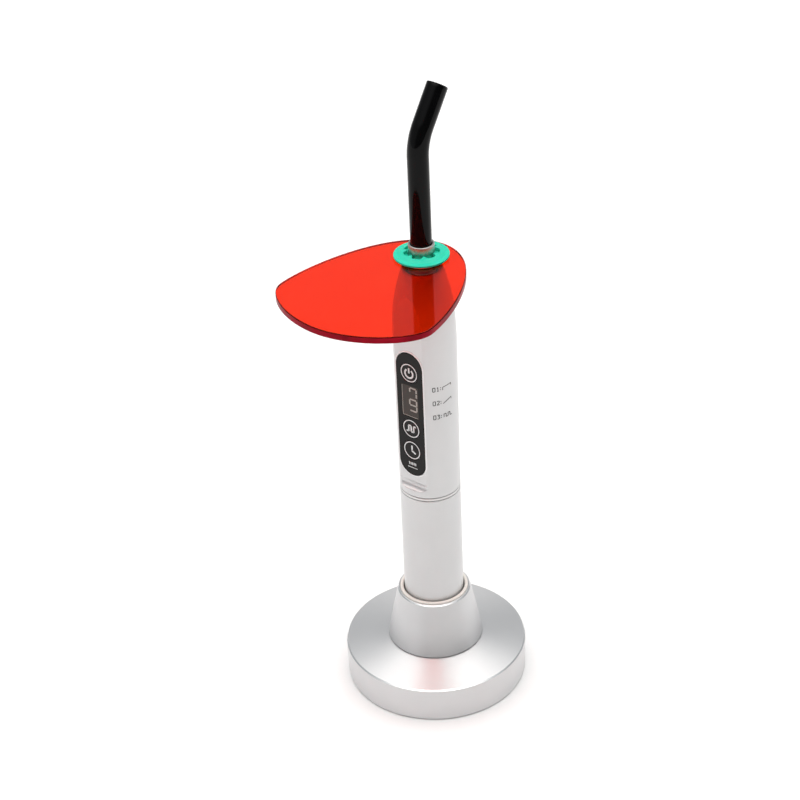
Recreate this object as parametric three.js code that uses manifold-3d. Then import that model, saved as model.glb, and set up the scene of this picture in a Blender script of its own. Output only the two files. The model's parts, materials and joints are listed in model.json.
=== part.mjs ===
// A dental curing light standing in its charging base.
// Millimetres, +Z up. The origin is the centre of the base's underside, on the table.
// The control panel faces -Y, the eye shield reaches out over it, and the light guide's tip bends towards +Y.
import * as THREE from "three";
import { mergeVertices } from "three/addons/utils/BufferGeometryUtils.js";
import Module from "manifold-3d";

const wasm = await Module();
wasm.setup();

// ---------------------------------------------------------------- driving dimensions
const ROUND = 36; // sides of a large turned piece
const SMALL = 18; // sides of a small turned piece
const FINE = 12; // sides of a pin, a screw or a hole
const WELD = 1e-4; // vertices closer than this are one
const SLACK = 0.1; // gap round a piece that sits in its recess

// charging base
const BASE_R = 37.1;
const BASE_EDGE_Z = 15.4; // top edge of the outer band
const BASE_CROWN_Z = 17.7; // where the sloping top meets the collar
const BASE_SKIRT_Z = 0.4; // the skirt stops just short of the table
const BASE_WALL = 1.6;
const COLLAR_FOOT_R = 19.5;
const COLLAR_TOP_R = 14.9;
const COLLAR_TOP_Z = 40.9;
const COLLAR_BORE_R = 13.95;
const SPIGOT_R = 16.5; // collar's spigot in the base shell
const SPIGOT_Z = 12.3;
const LINER_R = 13.85;
const LINER_BORE_R = 12.45;
const LINER_LIP_Z = 41.6;
const LINER_FLOOR_Z = 10.2;
const PAD_R = 35.2;
const COVER_Z = 1.5; // underside of the bottom cover, on top of the rubber pad
const COVER_TOP_Z = 3.0;
const BOARD_Z = 6.0; // underside of the charging board
const BOARD_TOP_Z = 7.6;
const BOSS_RADIUS = 30.5; // the cover screws' circle
const BOSS_ANGLES = [30, 150, 270];
const JACK_Z = 7.7; // axis of the power jack
const JACK_BORE_R = 3.1;
const JACK_NOSE_R = 3.8; // round nose in the shell's mouth

// handpiece
const TAIL_Z = 12.0; // lower end, on the charging pins
const TUBE_R = 12.0;
const TUBE_TOP_Z = 89.9;
const HANDLE_Z = 91.6;
const HANDLE_R = 12.2; // widest, just below the nose
const THREAD_R = 10.2;
const THREAD_TOP_Z = 95.0;
const CELL_R = 9.2; // 18650 cell in its wrapper
const CELL_Z = 21.8;
const CELL_LENGTH = 65.2;
const NOSE_TOP_Z = 186.4;
const NOSE_TOP_R = 7.7;
const HANDLE_WALL = 1.5;

// flat face with its panel and keys
const FLAT_Y = -10.2;
const FLAT_Z = 97.5; // lower end of the flat
const SCOOP_R = 2.3;
const SCOOP_DEPTH = 0.25; // below the flat
const PANEL_HALF = 6.15;
const PANEL_LOW_Z = 100.5;
const PANEL_HIGH_Z = 155.5;
const PANEL_FLOOR_Y = -9.7;
const PANEL_FACE_Y = -10.5;
const KEY_R = 4.2;
const KEYS = { button_power: 146.9, button_mode: 121.9, button_time: 112.0 };
const DISPLAY_HALF = 4.0;
const DISPLAY_LOW_Z = 127.2;
const DISPLAY_HIGH_Z = 141.4;
const CONTROL_BOARD_Y = -4.6; // front of the control board

// light guide and shield
const GUIDE_R = 4.05;
const FERRULE_R = 5.08;
const FERRULE_LOW_Z = 174.2;
const FERRULE_TOP_Z = 197.9;
const GUIDE_LOW_Z = 176.0;
const BEND_START_Z = 232.4;
const BEND_RADIUS = 18.3;
const BEND_ANGLE = THREE.MathUtils.degToRad(36.4);
const TIP_LENGTH = 15.6;
const SHIELD_Z = 189.65;
const SHIELD_TOP_Z = 192.3;
const SHIELD_TURN = THREE.MathUtils.degToRad(3.8); // how far it is turned on its ring
const SHIELD_FRONT = 63.5; // reach in front of the axis
const SHIELD_REAR = 12.9; // reach behind the axis
const SHIELD_HALF = 33.05; // half the widest width
const SHIELD_WIDEST = 42.95; // widest place, in front of the axis
const RING_R = 10.5;
const RING_NECK_R = 7.9;
const RING_FOOT_R = 8.4;
const RING_LOW_Z = 188.9;
const RING_LIP_Z = 192.6; // underside of its thin outer lip
const RING_TOP_Z = 194.9;
const RING_VALLEY_R = 6.7; // between the teeth
const RING_TEETH = 7;
const RING_PHASE = THREE.MathUtils.degToRad(-43.4); // direction of the first tooth

// ---------------------------------------------------------------- making and joining
const pairs = (profile) => profile.map(([r, h]) => new THREE.Vector2(r, h));

// Profiles run counter-clockwise: out along the bottom, up the outside, back in along the top.
function turnedAboutY(profile, sides = ROUND) {
  return new THREE.LatheGeometry(pairs(profile), sides);
}

function turned(profile, sides = ROUND) {
  return turnedAboutY(profile, sides).rotateX(Math.PI / 2);
}

function ring(profile, sides = ROUND) {
  return turned([...profile, profile[0]], sides);
}

function drum(radius, low, high, sides = ROUND) {
  return turned([[0, low], [radius, low], [radius, high], [0, high]], sides);
}

function drumAboutY(radius, front, back, sides = ROUND) {
  return turnedAboutY([[0, front], [radius, front], [radius, back], [0, back]], sides);
}

function block(low, high) {
  const size = high.map((value, axis) => value - low[axis]);
  const middle = high.map((value, axis) => (value + low[axis]) / 2);
  return new THREE.BoxGeometry(...size).translate(...middle);
}

// A shape drawn in X and Z, made into a slab between two Y values.
function slab(shape, front, back, curveSegments = 8) {
  const options = { depth: back - front, bevelEnabled: false, curveSegments };
  return new THREE.ExtrudeGeometry(shape, options).rotateX(Math.PI / 2).translate(0, back, 0);
}

function stadium(half, low, high) {
  const shape = new THREE.Shape();
  shape.absarc(0, high - half, half, 0, Math.PI);
  shape.absarc(0, low + half, half, Math.PI, 2 * Math.PI);
  shape.closePath();
  return shape;
}

function rectangle(half, low, high) {
  const shape = new THREE.Shape();
  shape.moveTo(-half, low).lineTo(half, low).lineTo(half, high).lineTo(-half, high);
  shape.closePath();
  return shape;
}

function circle(radius) {
  const shape = new THREE.Shape();
  shape.absarc(0, 0, radius, 0, 2 * Math.PI);
  return shape;
}

// A round rod along a path. A whole circle gets two sides for each of its curve segments.
function rod(path, radius, steps, sides) {
  return new THREE.ExtrudeGeometry(circle(radius), { steps, extrudePath: path, curveSegments: sides / 2 });
}

function wire(points, radius, steps) {
  return rod(new THREE.CatmullRomCurve3(points.map((p) => new THREE.Vector3(...p))), radius, steps, 6);
}

function torus(radius, thickness, z) {
  return new THREE.TorusGeometry(radius, thickness, 4, 24).translate(0, 0, z);
}

function solid(geometry) {
  const bare = geometry.clone();
  bare.deleteAttribute("normal");
  bare.deleteAttribute("uv");
  const welded = mergeVertices(bare, WELD);
  const vertProperties = welded.attributes.position.array;
  const triVerts = new Uint32Array(welded.index.array);
  return new wasm.Manifold(new wasm.Mesh({ numProp: 3, vertProperties, triVerts }));
}

function join(first, ...others) {
  return others.reduce((body, other) => body.add(solid(other)), solid(first));
}

function cut(body, ...tools) {
  return tools.reduce((left, tool) => left.subtract(solid(tool)), body);
}

function surface(body) {
  const mesh = body.getMesh();
  const geometry = new THREE.BufferGeometry();
  geometry.setAttribute("position", new THREE.BufferAttribute(mesh.vertProperties, 3));
  geometry.setIndex(new THREE.BufferAttribute(mesh.triVerts, 1));
  geometry.computeVertexNormals();
  return geometry;
}

function piece(name, geometry, finish) {
  const [color, roughness, metalness] = finish;
  const material = new THREE.MeshStandardMaterial({ color, roughness, metalness });
  const mesh = new THREE.Mesh(geometry, material);
  mesh.name = name;
  return mesh;
}

function group(...members) {
  return new THREE.Group().add(...members);
}

// Finishes: colour, roughness, metalness.
const SATIN_ALUMINIUM = [0xc4c6c6, 0.38, 1.0];
const PEARL_PAINT = [0xd6d6d5, 0.34, 0.3];
const CREAM_PLASTIC = [0xe6ddd2, 0.45, 0.0];
const BLACK_RUBBER = [0x1c1c1d, 0.85, 0.0];
const BLACK_PLASTIC = [0x222224, 0.5, 0.0];
const PANEL_BLACK = [0x2b2826, 0.12, 0.0];
const SMOKED = [0x4b453f, 0.1, 0.0];
const STEEL = [0xb9b7b2, 0.2, 1.0];
const BRASS = [0xc9a24f, 0.3, 1.0];
const BOARD_GREEN = [0x1f5b3a, 0.5, 0.0];
const CELL_WRAP = [0x2f6fae, 0.4, 0.0];
const GUIDE_BLACK = [0x101012, 0.06, 0.0];
const MINT_SILICONE = [0x3fd7b4, 0.5, 0.0];
const SHIELD_ORANGE = [0xff3d14, 0.05, 0.0];
const WIRE_RED = [0xb02020, 0.5, 0.0];
const NATURAL_PLASTIC = [0xd9d9d4, 0.5, 0.0];

const bossPlace = (degrees) => {
  const angle = THREE.MathUtils.degToRad(degrees);
  return [BOSS_RADIUS * Math.cos(angle), BOSS_RADIUS * Math.sin(angle)];
};

// ---------------------------------------------------------------- charging base
function baseShell() {
  const inner = BASE_R - BASE_WALL;
  const underside = BASE_CROWN_Z - BASE_WALL;
  const shell = ring([
    [inner, BASE_SKIRT_Z], [BASE_R - 0.25, BASE_SKIRT_Z], [BASE_R, BASE_EDGE_Z - 0.5],
    [BASE_R - 0.5, BASE_EDGE_Z], [COLLAR_FOOT_R + 0.2, BASE_CROWN_Z], [SPIGOT_R + 0.2, BASE_CROWN_Z],
    [SPIGOT_R + 0.2, underside], [COLLAR_FOOT_R + 0.2, underside], [inner, BASE_EDGE_Z - BASE_WALL],
  ]);
  const bosses = BOSS_ANGLES.map((degrees) => {
    return drum(3, COVER_TOP_Z + SLACK, BASE_EDGE_Z - 1, FINE).translate(...bossPlace(degrees), 0);
  });
  const holes = BOSS_ANGLES.map((degrees) => {
    return drum(1.5, 0, 11, FINE).translate(...bossPlace(degrees), 0);
  });
  const jackMouth = drumAboutY(JACK_NOSE_R + 2 * SLACK, inner - 2, BASE_R + 2, SMALL).translate(0, 0, JACK_Z);
  return piece("base_shell", surface(cut(join(shell, ...bosses), ...holes, jackMouth)), SATIN_ALUMINIUM);
}

function socketCollar() {
  return piece("socket_collar", ring([
    [COLLAR_BORE_R, SPIGOT_Z], [SPIGOT_R, SPIGOT_Z], [SPIGOT_R, BASE_CROWN_Z], [COLLAR_FOOT_R, BASE_CROWN_Z],
    [COLLAR_TOP_R, COLLAR_TOP_Z - 0.35], [COLLAR_TOP_R - 0.35, COLLAR_TOP_Z], [COLLAR_BORE_R, COLLAR_TOP_Z],
  ]), SATIN_ALUMINIUM);
}

// Places of the two charging pins, as distances along +X from the axis.
const PIN_PLACES = { contact_pin_centre: 0, contact_pin_ring: 6.6 };
const PIN_R = 0.9;
const PIN_HOLE_R = 1.15;

const pinHoles = (low, high) => Object.values(PIN_PLACES).map((x) => {
  return drum(PIN_HOLE_R, low, high, FINE).translate(x, 0, 0);
});

function socketLiner() {
  const cup = turned([
    [0, LINER_FLOOR_Z], [LINER_R, LINER_FLOOR_Z], [LINER_R, LINER_LIP_Z - 0.5],
    [LINER_R - 0.25, LINER_LIP_Z - 0.1], [LINER_R - 0.7, LINER_LIP_Z],
    [LINER_BORE_R + 0.3, LINER_LIP_Z - 0.15], [LINER_BORE_R, LINER_LIP_Z - 0.6],
    [LINER_BORE_R, TAIL_Z - 0.5], [0, TAIL_Z - 0.5],
  ]);
  const body = cut(solid(cup), ...pinHoles(LINER_FLOOR_Z - 1, TAIL_Z));
  return piece("socket_liner", surface(body), CREAM_PLASTIC);
}

function contactBlock() {
  const low = BOARD_TOP_Z + 0.9;
  const disc = drum(10, low, LINER_FLOOR_Z, SMALL);
  const body = cut(solid(disc), ...pinHoles(low - 1, LINER_FLOOR_Z + 1));
  return piece("contact_block", surface(body), BLACK_PLASTIC);
}

function contactPin(name, x) {
  const pin = drum(PIN_R, BOARD_TOP_Z + 1.1, TAIL_Z - 0.05, FINE);
  const mesh = piece(name, pin, BRASS);
  mesh.position.x = x;
  return mesh;
}

function bottomCover() {
  const standoffs = [90, 210, 330].map((degrees) => {
    const angle = THREE.MathUtils.degToRad(degrees);
    const [x, y] = [11 * Math.cos(angle), 11 * Math.sin(angle)];
    return drum(1.6, COVER_TOP_Z - 0.5, BOARD_Z, FINE).translate(x, y, 0);
  });
  const disc = drum(PAD_R, COVER_Z, COVER_TOP_Z);
  const countersinks = BOSS_ANGLES.map((degrees) => {
    const sink = turned([[0, 1], [3.2, 1], [3.2, COVER_Z], [1.6, COVER_TOP_Z], [1.6, 4], [0, 4]], FINE);
    return sink.translate(...bossPlace(degrees), 0);
  });
  return piece("bottom_cover", surface(cut(join(disc, ...standoffs), ...countersinks)), BLACK_PLASTIC);
}

function coverScrew(name, degrees) {
  const screw = turned([[0, COVER_Z], [2.6, COVER_Z], [1.2, COVER_TOP_Z - 0.1], [1.2, 9.5], [0, 9.5]], FINE);
  const mesh = piece(name, screw, STEEL);
  mesh.position.set(...bossPlace(degrees), 0);
  return mesh;
}

function footPad() {
  return piece("foot_pad", drum(PAD_R, 0, COVER_Z), BLACK_RUBBER);
}

function baseWeight() {
  const disc = ring([[18, COVER_TOP_Z], [25.4, COVER_TOP_Z], [25.4, 12], [18, 12]]);
  const gap = block([-3, 10, 0], [3, 30, 20]);
  return piece("base_weight", surface(cut(solid(disc), gap)), STEEL);
}

function chargingBoard() {
  return piece("charging_board", drum(15, BOARD_Z, BOARD_TOP_Z, SMALL), BOARD_GREEN);
}

function powerJack() {
  const [front, back] = [26, BASE_R - BASE_WALL - 0.6];
  const housing = block([-4.5, front, JACK_Z - 4.3], [4.5, back, JACK_Z + 4.3]);
  const nose = drumAboutY(JACK_NOSE_R, back - 1, BASE_R - 0.6, SMALL).translate(0, 0, JACK_Z);
  const bore = drumAboutY(JACK_BORE_R, front + 1.5, BASE_R, SMALL).translate(0, 0, JACK_Z);
  const pin = drumAboutY(1, front + 1, front + 4, FINE).translate(0, 0, JACK_Z);
  return piece("power_jack", surface(cut(join(housing, nose), bore).add(solid(pin))), BLACK_PLASTIC);
}

function baseWire(name, x) {
  const z = BOARD_TOP_Z + 0.8;
  const points = [[x, 13, z], [x, 16.5, z + 0.4], [x, 21, z - 0.5], [x, 25.6, z - 1.4]];
  return piece(name, wire(points, 0.6, 8), WIRE_RED);
}

// ---------------------------------------------------------------- lower handpiece
function tailRing() {
  const high = TAIL_Z + 0.8;
  return piece("tail_ring_contact", ring([[5.2, TAIL_Z], [8, TAIL_Z], [8, high], [5.2, high]], SMALL), BRASS);
}

function tailCap() {
  const low = TAIL_Z + 0.1;
  return piece("tail_cap", ring([
    [2.3, low], [5.0, low], [5.0, low + 0.9], [8.2, low + 0.9], [8.2, low], [11.4, low], [11.9, low + 0.5],
    [11.9, low + 1.9], [10.4, low + 1.9], [10.4, low + 4.9], [2.3, low + 4.9],
  ], SMALL), BLACK_PLASTIC);
}

const SPRING_LOW_Z = TAIL_Z + 5.7;

function tailContact() {
  return piece("tail_centre_contact", turned([
    [0, TAIL_Z], [2.1, TAIL_Z], [2.1, SPRING_LOW_Z - 0.6], [4.5, SPRING_LOW_Z - 0.6], [4.5, SPRING_LOW_Z],
    [0, SPRING_LOW_Z],
  ], SMALL), BRASS);
}

class Helix extends THREE.Curve {
  constructor(radius, low, high, turns) {
    super();
    Object.assign(this, { radius, low, high, turns });
  }

  getPoint(t, target = new THREE.Vector3()) {
    const angle = 2 * Math.PI * this.turns * t;
    const z = THREE.MathUtils.lerp(this.low, this.high, t);
    return target.set(this.radius * Math.cos(angle), this.radius * Math.sin(angle), z);
  }
}

function batterySpring() {
  const wireR = 0.35;
  const path = new Helix(3.6, SPRING_LOW_Z + wireR + 0.05, CELL_Z - wireR - 0.05, 3);
  return piece("battery_spring", rod(path, wireR, 30, 6), STEEL);
}

function batteryCell() {
  const top = CELL_Z + CELL_LENGTH;
  return piece("battery_cell", turned([
    [0, CELL_Z], [CELL_R, CELL_Z], [CELL_R, top - 1.1], [3.2, top - 1.1], [3.2, top], [0, top],
  ], SMALL), CELL_WRAP);
}

function batterySleeve() {
  const [low, high] = [SPRING_LOW_Z, TUBE_TOP_Z - 2.2];
  const sleeve = ring([[9.4, low], [10.35, low], [10.35, high], [9.4, high]]);
  return piece("battery_sleeve", sleeve, NATURAL_PLASTIC);
}

function batteryTube() {
  const low = TAIL_Z + 2.1;
  const threads = [0, 1, 2].flatMap((turn) => {
    const z = HANDLE_Z + 0.2 + turn;
    return [[THREAD_R, z], [THREAD_R - 0.25, z + 0.5]];
  });
  return piece("battery_tube", ring([
    [10.5, low], [TUBE_R, low], [TUBE_R, TUBE_TOP_Z - 0.2], [TUBE_R - 0.2, TUBE_TOP_Z],
    [THREAD_R, TUBE_TOP_Z], ...threads, [THREAD_R, THREAD_TOP_Z], [9.5, THREAD_TOP_Z],
    [9.5, TUBE_TOP_Z - 2], [10.5, TUBE_TOP_Z - 2],
  ]), PEARL_PAINT);
}

function tubeSeal() {
  return piece("tube_seal", torus(THREAD_R + 0.38, 0.28, TUBE_TOP_Z + 0.7), BLACK_RUBBER);
}

function jointRing() {
  const [low, high] = [TUBE_TOP_Z + 0.1, HANDLE_Z - 0.1];
  return piece("joint_ring", ring([
    [10.95, low], [TUBE_R - 0.2, low], [TUBE_R, low + 0.2], [TUBE_R, high - 0.2], [TUBE_R - 0.2, high],
    [10.95, high],
  ]), SATIN_ALUMINIUM);
}

// ---------------------------------------------------------------- handle
function noseProfile() {
  const dome = new THREE.SplineCurve(pairs([
    [HANDLE_R, 158], [11.85, 167], [11.15, 173], [10.1, 178.2], [8.75, 183.4], [NOSE_TOP_R, NOSE_TOP_Z],
  ]));
  return dome.getPoints(6).map((p) => [p.x, p.y]);
}

// Everything in front of the flat, ended below by a hollow scoop.
function flatCutter() {
  const drop = Math.sqrt(SCOOP_R ** 2 - (SCOOP_R - SCOOP_DEPTH) ** 2);
  const [y, z] = [FLAT_Y + SCOOP_DEPTH - SCOOP_R, FLAT_Z - drop];
  const side = block([-15, -30, FLAT_Z], [15, FLAT_Y, 200]);
  const scoop = new THREE.CylinderGeometry(SCOOP_R, SCOOP_R, 30, 2 * SMALL);
  scoop.rotateZ(Math.PI / 2).translate(0, y, z);
  const below = block([-15, -30, z], [15, y, FLAT_Z + 1]);
  return join(side, scoop, below);
}

function handleCavity() {
  const inside = NOSE_TOP_Z + 1;
  const body = solid(turned([
    [0, HANDLE_Z - 1], [THREAD_R + 0.15, HANDLE_Z - 1], [THREAD_R + 0.15, THREAD_TOP_Z + 0.2],
    [10.5, THREAD_TOP_Z + 0.2], [10.5, 160], [10.2, 167], [9.3, 173], [8.4, 176.5], [7.2, 178.6],
    [7.2, inside], [0, inside],
  ]));
  const wall = block([-15, -15, HANDLE_Z - 2], [15, FLAT_Y + HANDLE_WALL, 200]);
  const mouth = drum(THREAD_R + 0.15, HANDLE_Z - 1, THREAD_TOP_Z + 0.2);
  return body.subtract(solid(wall)).add(solid(mouth));
}

const BOARD_SCREWS = { board_screw_lower: 103.6, board_screw_upper: 154.2 };

function handleShell() {
  const outside = solid(turned([
    [0, HANDLE_Z], [TUBE_R - 0.2, HANDLE_Z], [TUBE_R, HANDLE_Z + 0.2], ...noseProfile(), [0, NOSE_TOP_Z],
  ]));
  const recess = stadium(PANEL_HALF + SLACK, PANEL_LOW_Z - SLACK, PANEL_HIGH_Z + SLACK);
  const pocket = slab(recess, -20, PANEL_FLOOR_Y);
  const keyHoles = Object.values(KEYS).map((z) => drumAboutY(KEY_R + 0.2, -12, -8, SMALL).translate(0, 0, z));
  const displayHole = block([-3.6, -12, DISPLAY_LOW_Z + 0.4], [3.6, -8, DISPLAY_HIGH_Z - 0.4]);
  const shell = outside.subtract(flatCutter()).subtract(handleCavity());
  const bosses = Object.values(BOARD_SCREWS).map((z) => {
    return drumAboutY(1.7, FLAT_Y + HANDLE_WALL - 0.5, CONTROL_BOARD_Y - 0.05, FINE).translate(0, 0, z);
  });
  const screwHoles = Object.values(BOARD_SCREWS).map((z) => {
    return drumAboutY(0.95, -8, CONTROL_BOARD_Y + 1, FINE).translate(0, 0, z);
  });
  const whole = bosses.reduce((body, boss) => body.add(solid(boss)), shell);
  const pierced = cut(whole, pocket, ...keyHoles, displayHole, ...screwHoles);
  return piece("handle_shell", surface(pierced), PEARL_PAINT);
}

function controlPanel() {
  const plate = solid(slab(stadium(PANEL_HALF, PANEL_LOW_Z, PANEL_HIGH_Z), PANEL_FACE_Y, PANEL_FLOOR_Y));
  const keyHoles = Object.values(KEYS).map((z) => {
    return drumAboutY(KEY_R + 0.15, -12, -8, SMALL).translate(0, 0, z);
  });
  const window = block([-DISPLAY_HALF, -12, DISPLAY_LOW_Z], [DISPLAY_HALF, -8, DISPLAY_HIGH_Z]);
  return piece("control_panel", surface(cut(plate, ...keyHoles, window)), PANEL_BLACK);
}

function displayWindow() {
  const half = DISPLAY_HALF - 0.05;
  const pane = rectangle(half, DISPLAY_LOW_Z + 0.05, DISPLAY_HIGH_Z - 0.05);
  return piece("display_window", slab(pane, PANEL_FACE_Y + 0.05, PANEL_FLOOR_Y), SMOKED);
}

function displayModule() {
  const body = rectangle(4.9, DISPLAY_LOW_Z - 0.3, DISPLAY_HIGH_Z + 0.3);
  return piece("display_module", slab(body, FLAT_Y + HANDLE_WALL + 0.1, CONTROL_BOARD_Y), BLACK_PLASTIC);
}

// A key: its cap fills the hole in the panel, a flange keeps it behind the wall, and a stem meets the switch.
function key(name, z) {
  const wall = FLAT_Y + HANDLE_WALL;
  const cap = turnedAboutY([
    [0, PANEL_FACE_Y], [KEY_R - 0.15, PANEL_FACE_Y], [KEY_R, PANEL_FACE_Y + 0.15], [KEY_R, wall + 0.05],
    [KEY_R + 0.45, wall + 0.05], [KEY_R + 0.45, wall + 0.5], [1, wall + 0.5], [1, wall + 1.1],
    [0, wall + 1.1],
  ], FINE);
  const mesh = piece(name, cap, PANEL_BLACK);
  mesh.position.z = z;
  return mesh;
}

function keySwitch(name, z) {
  const top = FLAT_Y + HANDLE_WALL + 1.65;
  const body = block([-2.5, top + 0.5, -2.5], [2.5, CONTROL_BOARD_Y, 2.5]);
  const plunger = drumAboutY(1.1, top, top + 1, FINE);
  const mesh = piece(name, surface(join(body, plunger)), BLACK_PLASTIC);
  mesh.position.z = z;
  return mesh;
}

const BOARD_BACK_Y = CONTROL_BOARD_Y + 1.2;

function controlBoard() {
  const board = solid(block([-8, CONTROL_BOARD_Y, 100], [8, BOARD_BACK_Y, 157]));
  const holes = Object.values(BOARD_SCREWS).map((z) => drumAboutY(0.95, -6, 0, FINE).translate(0, 0, z));
  return piece("control_board", surface(cut(board, ...holes)), BOARD_GREEN);
}

function boardScrew(name, z) {
  const screw = turnedAboutY([
    [0, -7.4], [0.8, -7.4], [0.8, BOARD_BACK_Y + 0.02], [1.7, BOARD_BACK_Y + 0.02], [1.4, BOARD_BACK_Y + 1],
    [0, BOARD_BACK_Y + 1],
  ], FINE);
  const mesh = piece(name, screw, STEEL);
  mesh.position.z = z;
  return mesh;
}

function buzzer() {
  const can = drumAboutY(4.2, BOARD_BACK_Y, BOARD_BACK_Y + 3, SMALL).translate(0, 0, 113);
  return piece("buzzer", can, BLACK_PLASTIC);
}

function controlChip() {
  return piece("control_chip", block([-3, BOARD_BACK_Y, 128], [3, BOARD_BACK_Y + 1.2, 134]), BLACK_PLASTIC);
}

function contactCarrier() {
  const low = CELL_Z + CELL_LENGTH + 1;
  return piece("contact_carrier", ring([
    [2.3, low], [9.2, low], [9.2, THREAD_TOP_Z - 0.2], [8.4, THREAD_TOP_Z], [8.4, 98.6], [2.3, 98.6],
  ], SMALL), NATURAL_PLASTIC);
}

function batteryContact() {
  const low = CELL_Z + CELL_LENGTH + 0.1;
  return piece("battery_contact", drum(2.1, low, 99.6, FINE), BRASS);
}

const HEAT_SINK_Z = 158;
const LED_BOARD_Z = 164.4;
const EMITTER_Z = LED_BOARD_Z + 1.5;

function heatSink() {
  const fins = [0, 1].flatMap((turn) => {
    const z = HEAT_SINK_Z + 2.2 * turn;
    return [[8.3, z], [8.3, z + 1.2], [6.5, z + 1.2], [6.5, z + 2.2]];
  });
  const top = LED_BOARD_Z;
  const profile = [[0, HEAT_SINK_Z], ...fins, [8.3, HEAT_SINK_Z + 4.4], [8.3, top], [0, top]];
  return piece("heat_sink", turned(profile, SMALL), SATIN_ALUMINIUM);
}

function ledBoard() {
  return piece("led_board", drum(8.1, LED_BOARD_Z, EMITTER_Z, SMALL), NATURAL_PLASTIC);
}

function ledEmitter() {
  const base = block([-1.8, -1.8, EMITTER_Z], [1.8, 1.8, EMITTER_Z + 0.8]);
  const z = EMITTER_Z + 0.7;
  const dome = turned([[0, z], [1.5, z], [1.3, z + 0.8], [0.7, z + 1.3], [0, z + 1.5]], FINE);
  return piece("led_emitter", surface(join(base, dome)), CREAM_PLASTIC);
}

const SOCKET_FLOOR_Z = 171.2;

function reflectorCup() {
  const low = EMITTER_Z + 0.02;
  const high = SOCKET_FLOOR_Z - 0.05;
  return piece("reflector_cup", ring([[2.8, low], [4.2, low], [6.8, high], [5.4, high]], SMALL), STEEL);
}

function guideSocket() {
  const bore = FERRULE_R + 0.12;
  const [grooveLow, grooveHigh] = [180.4, 181.8];
  return piece("guide_socket", ring([
    [4, SOCKET_FLOOR_Z], [7.9, SOCKET_FLOOR_Z], [7.9, 175.4], [7.0, 177.6], [7.0, NOSE_TOP_Z - 0.2],
    [bore, NOSE_TOP_Z - 0.2], [bore, grooveHigh], [6.3, grooveHigh], [6.3, grooveLow], [bore, grooveLow],
    [bore, FERRULE_LOW_Z - 0.1], [4, FERRULE_LOW_Z - 0.1],
  ], SMALL), STEEL);
}

function socketSeal() {
  return piece("socket_seal", torus(5.75, 0.45, 181.1), BLACK_RUBBER);
}

function ledWire(name, x) {
  const y = BOARD_BACK_Y + 1;
  const side = 1.6 * x;
  const points = [[x, y, 155], [x, y + 2.5, 156.6], [side, 7.6, 157.2], [side, 9, 160], [side, 8.8, 165]];
  return piece(name, wire(points, 0.45, 12), WIRE_RED);
}

// ---------------------------------------------------------------- light guide and shield
function guideFerrule() {
  const bore = GUIDE_R + 0.12;
  return piece("guide_ferrule", ring([
    [bore, FERRULE_LOW_Z], [FERRULE_R - 0.2, FERRULE_LOW_Z], [FERRULE_R, FERRULE_LOW_Z + 0.3],
    [FERRULE_R, FERRULE_TOP_Z - 0.4], [FERRULE_R - 0.3, FERRULE_TOP_Z], [bore, FERRULE_TOP_Z],
  ], SMALL), STEEL);
}

// The guide's centre line: straight up, round the bend, straight to the tip. Its parameter is its length.
class GuidePath extends THREE.Curve {
  constructor() {
    super();
    this.rise = BEND_START_Z - GUIDE_LOW_Z;
    this.arc = BEND_RADIUS * BEND_ANGLE;
    this.total = this.rise + this.arc + TIP_LENGTH;
  }

  getPoint(t, target = new THREE.Vector3()) {
    const along = t * this.total;
    const turn = THREE.MathUtils.clamp((along - this.rise) / BEND_RADIUS, 0, BEND_ANGLE);
    const before = Math.min(along, this.rise);
    const after = Math.max(along - this.rise - this.arc, 0);
    const y = BEND_RADIUS * (1 - Math.cos(turn)) + after * Math.sin(turn);
    const z = GUIDE_LOW_Z + before + BEND_RADIUS * Math.sin(turn) + after * Math.cos(turn);
    return target.set(0, y, z);
  }
}

function lightGuide() {
  return piece("light_guide", rod(new GuidePath(), GUIDE_R, 26, 16), GUIDE_BLACK);
}

// Grips the ferrule with a ring of rounded teeth and holds the shield in its groove.
function shieldRing() {
  const body = turned([
    [0, RING_LOW_Z], [RING_FOOT_R - 0.3, RING_LOW_Z], [RING_FOOT_R, RING_LOW_Z + 0.3],
    [RING_FOOT_R, SHIELD_Z - SLACK], [RING_NECK_R, SHIELD_Z - SLACK], [RING_NECK_R, SHIELD_TOP_Z + SLACK],
    [RING_R - 0.2, RING_LIP_Z], [RING_R, RING_LIP_Z + 0.2], [RING_R - 0.1, RING_LIP_Z + 0.8],
    [RING_VALLEY_R + 0.2, RING_TOP_Z - 0.3], [FERRULE_R + 0.15, RING_TOP_Z], [0, RING_TOP_Z],
  ]);
  const hole = new THREE.Shape();
  const steps = 6 * RING_TEETH;
  for (let i = 0; i < steps; i++) {
    const angle = (2 * Math.PI * i) / steps;
    const wave = Math.sqrt(Math.abs(Math.sin((RING_TEETH * angle) / 2)));
    const radius = THREE.MathUtils.lerp(FERRULE_R + 0.15, RING_VALLEY_R, wave);
    const [x, y] = [radius * Math.cos(angle), radius * Math.sin(angle)];
    if (i === 0) hole.moveTo(x, y);
    else hole.lineTo(x, y);
  }
  const bore = new THREE.ExtrudeGeometry(hole, { depth: RING_TOP_Z - RING_LOW_Z + 2, bevelEnabled: false });
  bore.rotateZ(RING_PHASE).translate(0, 0, RING_LOW_Z - 1);
  return piece("shield_ring", surface(cut(solid(body), bore)), MINT_SILICONE);
}

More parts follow.
